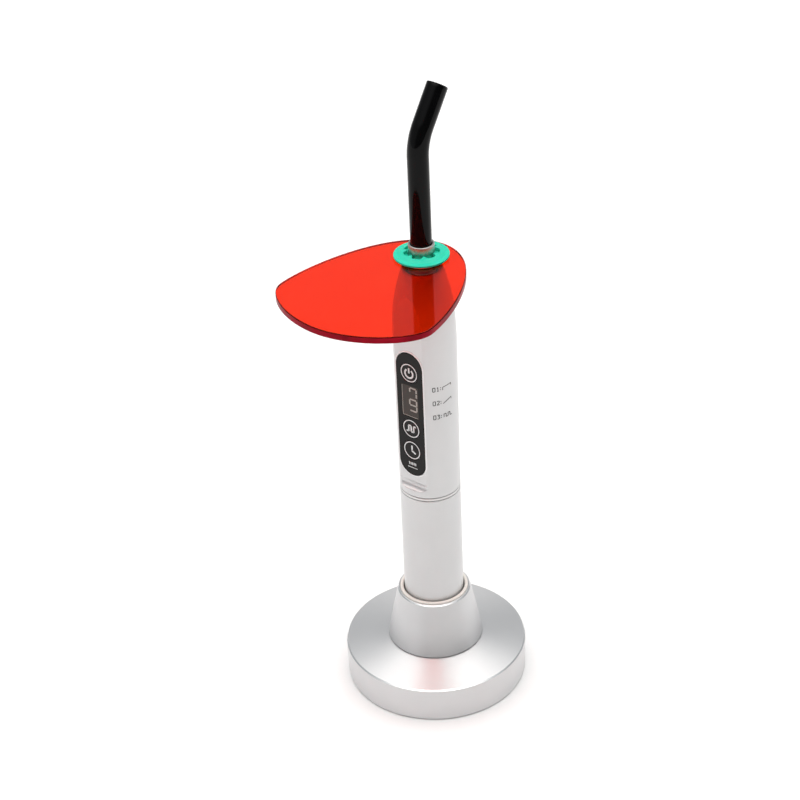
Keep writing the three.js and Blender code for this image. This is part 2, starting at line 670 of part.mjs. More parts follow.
// A rounded triangle: a tight rear, sides that bow out to the widest place, and a broad front.
function shieldPlate() {
  const outline = new THREE.Shape();
  const [rearHandle, sideHandle, cornerHandle, frontHandle] = [21.1, 17.7, 8.45, 16.5];
  const widest = -SHIELD_WIDEST;
  outline.moveTo(0, SHIELD_REAR);
  outline.bezierCurveTo(-rearHandle, SHIELD_REAR, -SHIELD_HALF, widest + sideHandle, -SHIELD_HALF, widest);
  outline.bezierCurveTo(-SHIELD_HALF, widest - cornerHandle, -frontHandle, -SHIELD_FRONT, 0, -SHIELD_FRONT);
  outline.bezierCurveTo(frontHandle, -SHIELD_FRONT, SHIELD_HALF, widest - cornerHandle, SHIELD_HALF, widest);
  outline.bezierCurveTo(SHIELD_HALF, widest + sideHandle, rearHandle, SHIELD_REAR, 0, SHIELD_REAR);
  const options = { depth: SHIELD_TOP_Z - SHIELD_Z, bevelEnabled: false, curveSegments: 16 };
  const plate = new THREE.ExtrudeGeometry(outline, options).rotateZ(SHIELD_TURN).translate(0, 0, SHIELD_Z);
  const hole = drum(RING_NECK_R + 2 * SLACK, SHIELD_Z - 1, SHIELD_TOP_Z + 1);
  return piece("shield_plate", surface(cut(solid(plate), hole)), SHIELD_ORANGE);
}

// ---------------------------------------------------------------- the whole object
const base = group(
  baseShell(),
  socketCollar(),
  socketLiner(),
  contactBlock(),
  ...Object.entries(PIN_PLACES).map(([name, x]) => contactPin(name, x)),
  bottomCover(),
  ...BOSS_ANGLES.map((degrees, i) => coverScrew(`cover_screw_${i + 1}`, degrees)),
  footPad(),
  baseWeight(),
  chargingBoard(),
  powerJack(),
  baseWire("jack_wire_left", -1.6),
  baseWire("jack_wire_right", 1.6),
);

const tube = group(
  tailRing(),
  tailCap(),
  tailContact(),
  batterySpring(),
  batteryCell(),
  batterySleeve(),
  batteryTube(),
  tubeSeal(),
  jointRing(),
);

const handle = group(
  handleShell(),
  controlPanel(),
  displayWindow(),
  displayModule(),
  ...Object.entries(KEYS).map(([name, z]) => key(name, z)),
  ...Object.entries(KEYS).map(([name, z]) => keySwitch(name.replace("button", "switch"), z)),
  controlBoard(),
  ...Object.entries(BOARD_SCREWS).map(([name, z]) => boardScrew(name, z)),
  buzzer(),
  controlChip(),
  contactCarrier(),
  batteryContact(),
  heatSink(),
  ledBoard(),
  ledEmitter(),
  reflectorCup(),
  guideSocket(),
  socketSeal(),
  ledWire("led_wire_left", -2.6),
  ledWire("led_wire_right", 2.6),
);

const optics = group(
  guideFerrule(),
  lightGuide(),
  shieldRing(),
  shieldPlate(),
);

export default group(base, tube, handle, optics);
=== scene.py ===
"""Looks of a dental curing light standing in its charging base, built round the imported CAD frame."""

import json
import math

import bmesh
import bpy
import numpy as np
from mathutils import Matrix, Vector


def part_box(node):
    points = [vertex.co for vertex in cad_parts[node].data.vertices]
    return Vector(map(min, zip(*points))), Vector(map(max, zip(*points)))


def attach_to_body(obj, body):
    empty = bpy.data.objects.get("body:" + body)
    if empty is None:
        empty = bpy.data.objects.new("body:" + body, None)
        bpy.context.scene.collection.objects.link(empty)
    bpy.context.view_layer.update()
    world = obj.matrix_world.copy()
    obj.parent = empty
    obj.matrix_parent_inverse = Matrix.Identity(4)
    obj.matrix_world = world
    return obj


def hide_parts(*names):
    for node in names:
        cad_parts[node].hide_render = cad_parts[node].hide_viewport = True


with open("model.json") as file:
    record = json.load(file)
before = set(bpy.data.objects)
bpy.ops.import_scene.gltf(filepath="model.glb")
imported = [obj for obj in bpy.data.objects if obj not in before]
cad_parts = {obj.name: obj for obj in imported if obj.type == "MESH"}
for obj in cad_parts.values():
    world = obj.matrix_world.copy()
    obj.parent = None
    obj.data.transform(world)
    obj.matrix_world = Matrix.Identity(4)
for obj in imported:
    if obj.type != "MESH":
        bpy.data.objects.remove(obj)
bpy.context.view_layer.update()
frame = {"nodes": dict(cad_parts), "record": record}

SCENE = bpy.context.scene
MM = 0.001

# ---------------------------------------------------------------- places from the frame, in millimetres


def low(node):
    return [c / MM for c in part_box(node)[0]]


def high(node):
    return [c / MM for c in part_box(node)[1]]


BASE_R = high("base_shell")[0]
BASE_SKIRT_Z = low("base_shell")[2]
BASE_CROWN_Z = high("base_shell")[2]
COLLAR_FOOT_R = high("socket_collar")[0]
COLLAR_LOW_Z = low("socket_collar")[2]
COLLAR_TOP_Z = high("socket_collar")[2]
LINER_R = high("socket_liner")[0]
LINER_LOW_Z = low("socket_liner")[2]
LINER_TOP_Z = high("socket_liner")[2]
PAD_R = high("foot_pad")[0]
PAD_TOP_Z = high("foot_pad")[2]
TAIL_Z = low("tail_ring_contact")[2]
TUBE_R = high("battery_tube")[0]
TUBE_LOW_Z = low("battery_tube")[2]
THREAD_TOP_Z = high("battery_tube")[2]
JOINT_LOW_Z = low("joint_ring")[2]
JOINT_TOP_Z = high("joint_ring")[2]
HANDLE_Z = low("handle_shell")[2]
NOSE_TOP_Z = high("handle_shell")[2]
HANDLE_R = high("handle_shell")[0]
PANEL_HALF = high("control_panel")[0]
PANEL_LOW_Z = low("control_panel")[2]
PANEL_HIGH_Z = high("control_panel")[2]
PANEL_FACE_Y = low("control_panel")[1]
PANEL_FLOOR_Y = high("control_panel")[1]
DISPLAY_LOW = low("display_window")
DISPLAY_HIGH = high("display_window")
FERRULE_R = high("guide_ferrule")[0]
FERRULE_LOW_Z = low("guide_ferrule")[2]
FERRULE_TOP_Z = high("guide_ferrule")[2]
GUIDE_R = high("light_guide")[0]
GUIDE_LOW_Z = low("light_guide")[2]
SHIELD_Z = low("shield_plate")[2]
SHIELD_TOP_Z = high("shield_plate")[2]
RING_R = high("shield_ring")[0]
RING_LOW_Z = low("shield_ring")[2]
RING_TOP_Z = high("shield_ring")[2]

# details that the frame doesn't give
BASE_EDGE_Z = 15.4
COLLAR_TOP_R = 14.9
COLLAR_BORE_R = 13.95
THREAD_R = 10.2
FLAT_Y = -10.2
FLAT_Z = 97.5
HANDLE_WALL = 1.5
SCOOP_R = 2.3
SCOOP_DEPTH = 0.25
BEND_RADIUS = 18.3
BEND_ANGLE = math.radians(36.4)
TIP_LENGTH = 15.6
BEND_START_Z = 232.4
KEY_R = 4.2
RING_NECK_R = 7.9
RING_FOOT_R = 8.4
RING_LIP_Z = 192.6
RING_VALLEY_R = 6.7
RING_TEETH = 7
RING_PHASE = math.radians(-43.4)
SHIELD_TURN = math.radians(3.8)
SHIELD_FRONT = 63.5
SHIELD_REAR = 12.9
SHIELD_HALF = 33.05
SHIELD_WIDEST = 42.95
JACK_Z = 7.7
JACK_BORE_R = 3.1
JACK_NOSE_R = 3.8

# ---------------------------------------------------------------- mesh making


def make(name, points, faces, sharp=28, weighted=True):
    """A smooth-shaded mesh object from points in millimetres, with its faces turned outwards."""
    mesh = bpy.data.meshes.new(name)
    mesh.from_pydata([[c * MM for c in p] for p in points], [], faces)
    obj = bpy.data.objects.new(name, mesh)
    SCENE.collection.objects.link(obj)
    tidy(obj, sharp, weighted)
    return obj


def tidy(obj, sharp=28, weighted=True):
    """Welds, turns faces outwards and shades smooth, except over edges sharper than the angle."""
    work = bmesh.new()
    work.from_mesh(obj.data)
    bmesh.ops.remove_doubles(work, verts=work.verts, dist=1e-7)
    bmesh.ops.recalc_face_normals(work, faces=work.faces)
    work.to_mesh(obj.data)
    work.free()
    obj.data.shade_smooth()
    obj.data.set_sharp_from_angle(angle=math.radians(sharp))
    if weighted:
        normals = obj.modifiers.new("even_normals", "WEIGHTED_NORMAL")
        normals.keep_sharp = True
    return obj


def rounded(profile, closed=True, guard=0.25):
    """Replaces each corner (r, h, fillet) by an arc, with guard points that keep long faces flat."""
    count = len(profile)
    out = []
    for i, corner in enumerate(profile):
        at = np.array(corner[:2], float)
        fillet = corner[2] if len(corner) > 2 else 0
        if not closed and i in (0, count - 1):
            out.append(tuple(at))
            continue
        before = np.array(profile[i - 1][:2], float) - at
        after = np.array(profile[(i + 1) % count][:2], float) - at
        lengths = np.linalg.norm(before), np.linalg.norm(after)
        before, after = before / lengths[0], after / lengths[1]
        opening = math.acos(np.clip(before @ after, -1, 1))
        turn = math.pi - opening
        if fillet <= 0 or turn < 0.02:
            reach = 0
            arc = [at]
        else:
            reach = min(fillet * math.tan(turn / 2), 0.45 * min(lengths))
            radius = reach / math.tan(turn / 2)
            centre = at + (before + after) / np.linalg.norm(before + after) * math.hypot(reach, radius)
            steps = max(2, math.ceil(math.degrees(turn) / 14))
            start, end = at + before * reach - centre, at + after * reach - centre
            arc = []
            for k in range(steps + 1):
                share = k / steps
                mixed = start * math.sin((1 - share) * turn) + end * math.sin(share * turn)
                arc.append(centre + mixed / math.sin(turn))
        if lengths[0] > 2 * (reach + guard):
            out.append(tuple(at + before * (reach + guard)))
        out += [tuple(p) for p in arc]
        if lengths[1] > 2 * (reach + guard):
            out.append(tuple(at + after * (reach + guard)))
    return out


def turned_points(outline, sides, closed, axis, centre):
    """Points and faces of an outline of (r, h) pairs turned about Z or Y."""
    points, faces, rows = [], [], []
    for r, h in outline:
        if r < 1e-6:
            rows.append([len(points)] * sides)
            ring = [(0.0, 0.0, h)]
        else:
            rows.append(list(range(len(points), len(points) + sides)))
            angles = [2 * math.pi * k / sides for k in range(sides)]
            ring = [(r * math.cos(a), r * math.sin(a), h) for a in angles]
        points += ring
    for i in range(len(rows) if closed else len(rows) - 1):
        one, two = rows[i], rows[(i + 1) % len(rows)]
        for k in range(sides):
            n = (k + 1) % sides
            face = list(dict.fromkeys((one[k], one[n], two[n], two[k])))
            if len(face) > 2:
                faces.append(face)
    if axis == "Y":
        points = [(x, h, z) for x, z, h in points]
    return [tuple(np.add(p, centre)) for p in points], faces


def lathe(name, profile, sides=128, axis="Z", centre=(0, 0, 0), sharp=28):
    """A turned piece. A profile that starts on the axis is open there, and any other closes on itself."""
    closed = profile[0][0] > 0
    outline = rounded(profile, closed)
    return make(name, *turned_points(outline, sides, closed, axis, centre), sharp=sharp)


def boolean(obj, tools, operation="DIFFERENCE", sharp=28):
    """Cuts or joins with other meshes, which are used up."""
    for tool in tools:
        step = obj.modifiers.new("cut", "BOOLEAN")
        step.operation = operation
        step.solver = "EXACT"
        step.object = tool
    for other in [m for m in obj.modifiers if m.type == "WEIGHTED_NORMAL"]:
        obj.modifiers.remove(other)
    evaluated = obj.evaluated_get(bpy.context.evaluated_depsgraph_get())
    mesh = bpy.data.meshes.new_from_object(evaluated)
    obj.modifiers.clear()
    obj.data = mesh
    for tool in tools:
        bpy.data.objects.remove(tool)
    return tidy(obj, sharp)


def drum_tool(radius, start, end, axis="Y", centre=(0, 0, 0), sides=96):
    """A plain cylinder, only used to cut holes."""
    outline = [(0, start), (radius, start), (radius, end), (0, end)]
    return make("tool", *turned_points(outline, sides, False, axis, centre), weighted=False)


def loft(name, loops, sharp=28, close_ends=True):
    """Skins a row of loops with equal point counts, and closes the first and last."""
    count = len(loops[0])
    points = [p for loop in loops for p in loop]
    faces = []
    for i in range(len(loops) - 1):
        for k in range(count):
            n = (k + 1) % count
            faces.append((i * count + k, i * count + n, (i + 1) * count + n, (i + 1) * count + k))
    if close_ends:
        faces.append(tuple(range(count)))
        faces.append(tuple(range((len(loops) - 1) * count, len(loops) * count)))
    return make(name, points, faces, sharp)


def arc_points(cx, cz, radius, start, end, steps):
    angles = [math.radians(start + (end - start) * k / steps) for k in range(steps + 1)]
    return [(cx + radius * math.cos(a), cz + radius * math.sin(a)) for a in angles]


def stadium(grow=0.0, steps=32):
    """The panel's outline in X and Z, grown or shrunk."""
    half = PANEL_HALF + grow
    upper, lower = PANEL_HIGH_Z - PANEL_HALF, PANEL_LOW_Z + PANEL_HALF
    return arc_points(0, upper, half, 0, 180, steps) + arc_points(0, lower, half, 180, 360, steps)


def box_outline(half, bottom, top, radius, steps=6):
    """A rectangle with round corners in X and Z."""
    right, left = half - radius, radius - half
    corners = ((right, top - radius), (left, top - radius), (left, bottom + radius), (right, bottom + radius))
    out = []
    for quarter, (x, z) in enumerate(corners):
        out += arc_points(x, z, radius, 90 * quarter, 90 * quarter + 90, steps)
    return out


def in_plane(outline, y):
    return [(x, y, z) for x, z in outline]


def attach(obj, body, slot, *nodes, material=None):
    """Puts a piece on its CAD body with its slot's material or its own, and hides the nodes it stands for."""
    obj.data.materials.clear()
    obj.data.materials.append(material or SLOT_MATERIALS[slot])
    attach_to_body(obj, body)
    if nodes:
        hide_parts(*nodes)


# ---------------------------------------------------------------- materials


class Nodes:
    """A material's node tree with short ways to add what most of them need."""

    def __init__(self, name):
        self.material = bpy.data.materials.new(name)
        self.material.use_nodes = True
        self.tree = self.material.node_tree
        self.shader = self.tree.nodes["Principled BSDF"]
        self.place = self.tree.nodes.new("ShaderNodeTexCoord").outputs["Object"]

    def node(self, kind, **settings):
        made = self.tree.nodes.new(kind)
        for key, value in settings.items():
            setattr(made, key, value)
        return made

    def link(self, source, target):
        self.tree.links.new(source, target)

    def set(self, **values):
        for key, value in values.items():
            self.shader.inputs[key.replace("_", " ")].default_value = value
        return self

    def stretched(self, scale):
        """Object coordinates scaled differently along each axis."""
        mapping = self.node("ShaderNodeMapping")
        mapping.inputs["Scale"].default_value = scale
        self.link(self.place, mapping.inputs["Vector"])
        return mapping.outputs["Vector"]

    def noise(self, size_mm, detail=3, place=None, roughness=0.55):
        """Noise whose largest blobs measure about size_mm."""
        made = self.node("ShaderNodeTexNoise")
        made.inputs["Scale"].default_value = 1 / (size_mm * MM)
        made.inputs["Detail"].default_value = detail
        made.inputs["Roughness"].default_value = roughness
        self.link(place or self.place, made.inputs["Vector"])
        return made.outputs["Fac"]

    def spread(self, value, start, end, low=0.3, high=0.7):
        """Maps the middle of a noise to a range."""
        made = self.node("ShaderNodeMapRange")
        for key, number in {"From Min": low, "From Max": high, "To Min": start, "To Max": end}.items():
            made.inputs[key].default_value = number
        self.link(value, made.inputs["Value"])
        return made.outputs["Result"]

    def colours(self, value, first, second):
        """Mixes two colours by a value from 0 to 1."""
        made = self.node("ShaderNodeMix", data_type="RGBA")
        made.inputs["A"].default_value = (*first, 1)
        made.inputs["B"].default_value = (*second, 1)
        self.link(value, made.inputs["Factor"])
        return made.outputs["Result"]

    def colour(self, output):
        self.link(output, self.shader.inputs["Base Color"])
        return self

    def rough(self, output):
        self.link(output, self.shader.inputs["Roughness"])
        return self

    def bump(self, height, strength, depth_mm):
        made = self.node("ShaderNodeBump")
        made.inputs["Strength"].default_value = strength
        made.inputs["Distance"].default_value = depth_mm * MM
        self.link(height, made.inputs["Height"])
        self.link(made.outputs["Normal"], self.shader.inputs["Normal"])
        return self


def shade(colour, factor):
    return tuple(min(1.0, c * factor) for c in colour)


def surface(name, colour, roughness, metallic=0.0, grain_mm=0.25, grain=0.25, cloud_mm=14, cloud=0.04,
            **sockets):
    """A finish with fine grain, and a slow drift of tone and gloss."""
    made = Nodes(name)
    made.set(Metallic=metallic, **sockets)
    drift = made.spread(made.noise(cloud_mm), 0, 1)
    made.colour(made.colours(drift, shade(colour, 1 - cloud), shade(colour, 1 + cloud)))
    fine = made.noise(grain_mm, 4)
    made.rough(made.spread(fine, roughness * 0.88, roughness * 1.12))
    made.bump(fine, grain, grain_mm * 0.08)
    return made.material


def satin_aluminium():
    return surface("satin_aluminium", (0.64, 0.635, 0.63), 0.34, 1.0, grain_mm=0.16, grain=0.12, cloud=0.012)


def turned_aluminium():
    """Satin aluminium with the fine rings that turning leaves, which spread its highlights across them."""
    made = Nodes("turned_aluminium")
    made.set(Metallic=1.0, Anisotropic=0.68, Anisotropic_Rotation=0.25)
    drift = made.spread(made.noise(14), 0, 1)
    made.colour(made.colours(drift, (0.665, 0.665, 0.67), (0.69, 0.69, 0.695)))
    made.rough(made.spread(made.noise(0.16, 4), 0.37, 0.43))
    made.bump(made.noise(0.16, 4), 0.1, 0.012)
    tangent = made.node("ShaderNodeTangent", direction_type="RADIAL", axis="Z")
    made.link(tangent.outputs["Tangent"], made.shader.inputs["Tangent"])
    return made.material


def pearl_lacquer():
    """Smooth, light metallic lacquer, with a slow drift of tone and gloss from how it was sprayed."""
    made = Nodes("pearl_lacquer")
    made.set(Metallic=0.5)
    made.colour(made.colours(made.spread(made.noise(18), 0, 1), (0.625, 0.625, 0.627), (0.65, 0.65, 0.652)))
    made.rough(made.spread(made.noise(11), 0.29, 0.34))
    return made.material


def bright_cut():
    """Aluminium left bright by the last cut round an edge."""
    return surface("bright_cut", (0.9, 0.9, 0.9), 0.2, 1.0, grain_mm=0.6, grain=0.03, cloud=0.01)


def cream_plastic():
    return surface("cream_plastic", (0.86, 0.82, 0.765), 0.4, grain_mm=0.3, grain=0.2, cloud=0.03)


def black_rubber():
    return surface("black_rubber", (0.022, 0.022, 0.023), 0.8, grain_mm=0.5, grain=0.6, cloud=0.15)


def black_plastic():
    return surface("black_plastic", (0.028, 0.028, 0.03), 0.45, grain_mm=0.2, grain=0.35, cloud=0.1)


def natural_plastic():
    return surface("natural_plastic", (0.72, 0.71, 0.67), 0.45, grain_mm=0.3, grain=0.2)


def panel_black():
    return surface("panel_black", (0.0075, 0.0062, 0.0055), 0.16, grain_mm=0.9, grain=0.05, cloud=0.1,
                   IOR=1.27)


def smoked_window():
    return surface("smoked_window", (0.06, 0.049, 0.042), 0.12, grain_mm=0.9, grain=0.04, cloud=0.08,
                   IOR=1.3)


def white_edge():
    """White rim in the gap round the panel: a painted highlight for the bright outline along the panel's
    edge.
    """
    return surface("white_edge", (0.94, 0.94, 0.935), 0.3, grain_mm=0.5, grain=0.1, cloud=0.015)


def print_ink():
    return surface("print_ink", (0.78, 0.78, 0.78), 0.5, grain_mm=0.12, grain=0.3, cloud_mm=1.5, cloud=0.07)


def legend_ink():
    return surface("legend_ink", (0.03, 0.028, 0.026), 0.55, grain_mm=0.12, grain=0.3, cloud_mm=1.5,
                   cloud=0.1)


# Light grey of the readout's lit segments; the display's painted edge highlight uses it too.
def segment_and_highlight_ink():
    return surface("segment_and_highlight_ink", (0.42, 0.38, 0.34), 0.3, grain_mm=0.12, grain=0.2, cloud_mm=1.0,
                   cloud=0.12)


def ferrule_steel():
    return surface("ferrule_steel", (0.5, 0.49, 0.47), 0.3, 1.0, grain_mm=0.3, grain=0.08, cloud=0.03)


def polished_steel():
    return surface("polished_steel", (0.66, 0.64, 0.60), 0.16, 1.0, grain_mm=0.4, grain=0.06, cloud=0.02)


def brass():
    return surface("brass", (0.80, 0.60, 0.27), 0.24, 1.0, grain_mm=0.3, grain=0.1, cloud=0.05)


def circuit_board():
    return surface("circuit_board", (0.02, 0.16, 0.075), 0.35, grain_mm=0.4, grain=0.2, cloud_mm=6,
                   cloud=0.15)


def cell_wrap():
    return surface("cell_wrap", (0.05, 0.2, 0.48), 0.3, grain_mm=1.2, grain=0.15, cloud_mm=10, cloud=0.08)


def wire_insulation():
    return surface("wire_insulation", (0.4, 0.02, 0.02), 0.4, grain_mm=0.3, grain=0.2)


def guide_cladding():
    """Glossy black cladding of the fibre rod, with faint ripples."""
    made = Nodes("guide_cladding")
    made.set(IOR=1.22)
    drift = made.spread(made.noise(9), 0, 1)
    made.colour(made.colours(drift, (0.0015, 0.0015, 0.0016), (0.0025, 0.0025, 0.0027)))
    made.rough(made.spread(made.noise(3), 0.06, 0.1))
    made.bump(made.noise(6, 1), 0.05, 0.05)
    return made.material


def fibre_end():
    """The polished end of the fused fibre rod: dark glass with a fine honeycomb."""
    made = Nodes("fibre_end")
    made.set(Coat_Weight=0.8, Coat_Roughness=0.02)
    cells = made.node("ShaderNodeTexVoronoi")
    cells.inputs["Scale"].default_value = 1 / (0.22 * MM)
    made.link(made.place, cells.inputs["Vector"])
    shown = made.spread(cells.outputs["Distance"], 1, 0, 0.0, 0.7)
    made.colour(made.colours(shown, (0.16, 0.15, 0.13), (0.36, 0.34, 0.30)))
    made.rough(made.spread(made.noise(2), 0.08, 0.14))
    return made.material


def mint_silicone():
    return surface("mint_silicone", (0.02, 0.69, 0.465), 0.42, grain_mm=0.35, grain=0.15, cloud_mm=6,
                   cloud=0.05, Subsurface_Weight=0.15, Subsurface_Scale=0.002, IOR=1.36)


def orange_acrylic():
    """Clear orange filter plastic."""
    made = Nodes("orange_acrylic")
    made.set(Transmission_Weight=1.0, IOR=1.47, Metallic=0.06, Specular_Tint=(1.0, 0.12, 0.06, 1))
    drift = made.spread(made.noise(30), 0, 1)
    made.colour(made.colours(drift, (1.0, 0.025, 0.001), (1.0, 0.031, 0.002)))
    made.rough(made.spread(made.noise(12), 0.01, 0.02))
    return made.material


def acrylic_edge_painted_glow():
    """Opaque crimson for the plate's rim: painted glow for the light that the orange acrylic carries to its
    edge.
    """
    return surface("acrylic_edge_painted_glow", (0.3, 0.001, 0.012), 0.3, grain_mm=0.4, grain=0.1, cloud_mm=7, cloud=0.3,
                   IOR=1.15)


def floor_paint():
    return surface("floor_paint", (0.93, 0.93, 0.93), 0.6, grain_mm=3, grain=0.02, cloud_mm=200, cloud=0.004)


TURNED = turned_aluminium()
CUT = bright_cut()
WHITE_EDGE = white_edge()
INK = print_ink()
LEGEND = legend_ink()
SEGMENT_AND_HIGHLIGHT = segment_and_highlight_ink()
SLEEVE = ferrule_steel()
FIBRE = fibre_end()
CRIMSON = acrylic_edge_painted_glow()

SLOT_MATERIALS = {
    "satin_aluminium": satin_aluminium(), "pearl_paint": pearl_lacquer(), "cream_plastic": cream_plastic(),
    "black_rubber": black_rubber(), "black_plastic": black_plastic(), "natural_plastic": natural_plastic(),
    "panel_black": panel_black(), "smoked_window": smoked_window(), "circuit_board": circuit_board(),
    "cell_wrap": cell_wrap(), "steel": polished_steel(), "brass": brass(), "coated_glass": guide_cladding(),
    "mint_silicone": mint_silicone(), "orange_acrylic": orange_acrylic(),
    "wire_insulation": wire_insulation(),
}


def dress_cad_nodes():
    """Every CAD node gets the procedural material of its slot."""
    for part in frame["record"]["subparts"]:
        node = frame["nodes"][part["node"]]
        node.data.materials.clear()
        node.data.materials.append(SLOT_MATERIALS[part["material_slot"]])


# ---------------------------------------------------------------- charging base


def cut_edge(name, first, last):
    """The bright facet between two (radius, height) corners of a turned piece."""
    first, last = Vector(first), Vector(last)
    along = (last - first).normalized()
    out = Vector((along.y, -along.x))
    inset = along * 0.06
    first, last = first + inset, last - inset
    corners = (first - out * 0.05, first + out * 0.03, last + out * 0.03, last - out * 0.05)
    attach(lathe(name, [(r, z, 0) for r, z in corners], sides=256), "base", "satin_aluminium", material=CUT)


def base_shell():
    inner = BASE_R - 1.6
    crown = COLLAR_FOOT_R + 0.2
    under = BASE_CROWN_Z - 1.6
    shell = lathe("base_shell_fine", [
        (inner, BASE_SKIRT_Z, 0.2), (BASE_R - 0.25, BASE_SKIRT_Z, 0.3), (BASE_R, BASE_EDGE_Z - 0.55, 0.2),
        (BASE_R - 0.6, BASE_EDGE_Z, 0.2), (crown, BASE_CROWN_Z, 0.3), (16.75, BASE_CROWN_Z, 0.1),
        (16.75, under, 0.2), (crown, under, 0.3), (inner, BASE_EDGE_Z - 1.6, 0.8),
    ], sides=256)
    mouth = drum_tool(JACK_NOSE_R + 0.2, inner - 2, BASE_R + 2, centre=(0, 0, JACK_Z))
    boolean(shell, [mouth])
    attach(shell, "base", "satin_aluminium", "base_shell", material=TURNED)
    cut_edge("base_shell_rim", (BASE_R, BASE_EDGE_Z - 0.55), (BASE_R - 0.6, BASE_EDGE_Z))


def socket_collar():
    collar = lathe("socket_collar_fine", [
        (COLLAR_BORE_R, COLLAR_LOW_Z, 0.2), (16.5, COLLAR_LOW_Z, 0.2), (16.5, BASE_CROWN_Z, 0.1),
        (COLLAR_FOOT_R - 0.5, BASE_CROWN_Z, 0.05), (COLLAR_FOOT_R - 0.5, BASE_CROWN_Z + 0.4, 0.05),
        (COLLAR_FOOT_R - 0.05, BASE_CROWN_Z + 0.4, 0.15), (COLLAR_TOP_R, COLLAR_TOP_Z - 0.5, 0.15),
        (COLLAR_TOP_R - 0.5, COLLAR_TOP_Z, 0.15), (COLLAR_BORE_R, COLLAR_TOP_Z, 0.1),
    ], sides=192)
    attach(collar, "base", "satin_aluminium", "socket_collar", material=TURNED)
    cut_edge("socket_collar_rim", (COLLAR_TOP_R, COLLAR_TOP_Z - 0.5), (COLLAR_TOP_R - 0.5, COLLAR_TOP_Z))


def socket_liner():
    bore = 12.45
    floor = TAIL_Z - 0.5
    liner = lathe("socket_liner_fine", [
        (0, LINER_LOW_Z), (LINER_R, LINER_LOW_Z, 0.5), (LINER_R, LINER_TOP_Z, 0.55), (bore, LINER_TOP_Z, 0.6),
        (bore, floor, 0.6), (0, floor),
    ], sides=192)
    holes = [drum_tool(1.15, LINER_LOW_Z - 1, floor + 1, "Z", (x, 0, 0), 32) for x in (0, 6.6)]
    boolean(liner, holes)
    attach(liner, "base", "cream_plastic", "socket_liner")


def foot_pad():
    """Rubber disc with three shallow grip grooves underneath."""
    profile = [(0, 0)]
    for radius in (20, 25, 30):
        profile += [(radius + out, z, fillet)
                    for out, z, fillet in ((0, 0, 0.15), (0.3, 0.4, 0.1), (1.1, 0.4, 0.1), (1.4, 0, 0.15))]
    profile += [(PAD_R, 0, 0.3), (PAD_R, PAD_TOP_Z, 0.2), (0, PAD_TOP_Z)]
    attach(lathe("foot_pad_fine", profile, sides=128), "base", "black_rubber", "foot_pad")


def power_jack():
    """Moulded housing with a round nose in the shell's mouth, a bore, a centre pin and a contact sleeve."""
    lo, hi = low("power_jack"), high("power_jack")
    back, middle = BASE_R - 2.2, JACK_Z
    outline = box_outline(hi[0], lo[2], hi[2], 0.8)
    shrunk = box_outline(hi[0] - 0.25, lo[2] + 0.25, hi[2] - 0.25, 0.6)
    body = loft("power_jack_fine", [
        in_plane(shrunk, lo[1]), in_plane(outline, lo[1] + 0.25), in_plane(outline, back - 0.25),
        in_plane(shrunk, back),
    ])
    nose = lathe("tool", [
        (0, back - 1), (JACK_NOSE_R, back - 1), (JACK_NOSE_R, hi[1], 0.3), (0, hi[1]),
    ], sides=96, axis="Y", centre=(0, 0, middle))
    boolean(body, [nose], "UNION")
    boolean(body, [drum_tool(JACK_BORE_R, lo[1] + 1.5, hi[1] + 1, centre=(0, 0, middle), sides=64)])
    attach(body, "base", "black_plastic", "power_jack")
    pin = lathe("power_jack_pin", [
        (0, lo[1] + 1.2), (0.95, lo[1] + 1.2, 0.1), (0.95, lo[1] + 4, 0.4), (0, lo[1] + 4),
    ], sides=32, axis="Y", centre=(0, 0, middle))
    attach(pin, "base", "brass")
    sleeve = lathe("power_jack_sleeve", [
        (JACK_BORE_R - 0.22, lo[1] + 2), (JACK_BORE_R - 0.03, lo[1] + 2), (JACK_BORE_R - 0.03, hi[1] - 1.4),
        (JACK_BORE_R - 0.22, hi[1] - 1.4, 0.08),
    ], sides=64, axis="Y", centre=(0, 0, middle))
    attach(sleeve, "base", "steel")


# ---------------------------------------------------------------- lower handpiece


def battery_tube():
    """Lower tube with a rolled edge at each end and a screw thread above its shoulder."""
    shoulder = JOINT_LOW_Z - 0.1
    thread = []
    for turn in range(3):
        z = HANDLE_Z + 0.3 + turn
        thread += [(THREAD_R - 0.28, z, 0.06), (THREAD_R, z + 0.25, 0.06), (THREAD_R, z + 0.5, 0.06),
                   (THREAD_R - 0.28, z + 0.75, 0.06)]
    tube = lathe("battery_tube_fine", [
        (10.5, TUBE_LOW_Z, 0.1), (TUBE_R, TUBE_LOW_Z, 0.3), (TUBE_R, shoulder, 0.22),
        (THREAD_R, shoulder, 0.1), *thread, (THREAD_R - 0.28, THREAD_TOP_Z - 0.3, 0.05),
        (THREAD_R - 0.4, THREAD_TOP_Z, 0.1),
        (9.5, THREAD_TOP_Z, 0.1), (9.5, shoulder - 2, 0.2), (10.5, shoulder - 2, 0.2),
    ], sides=160)
    attach(tube, "lower_handpiece", "pearl_paint", "battery_tube")


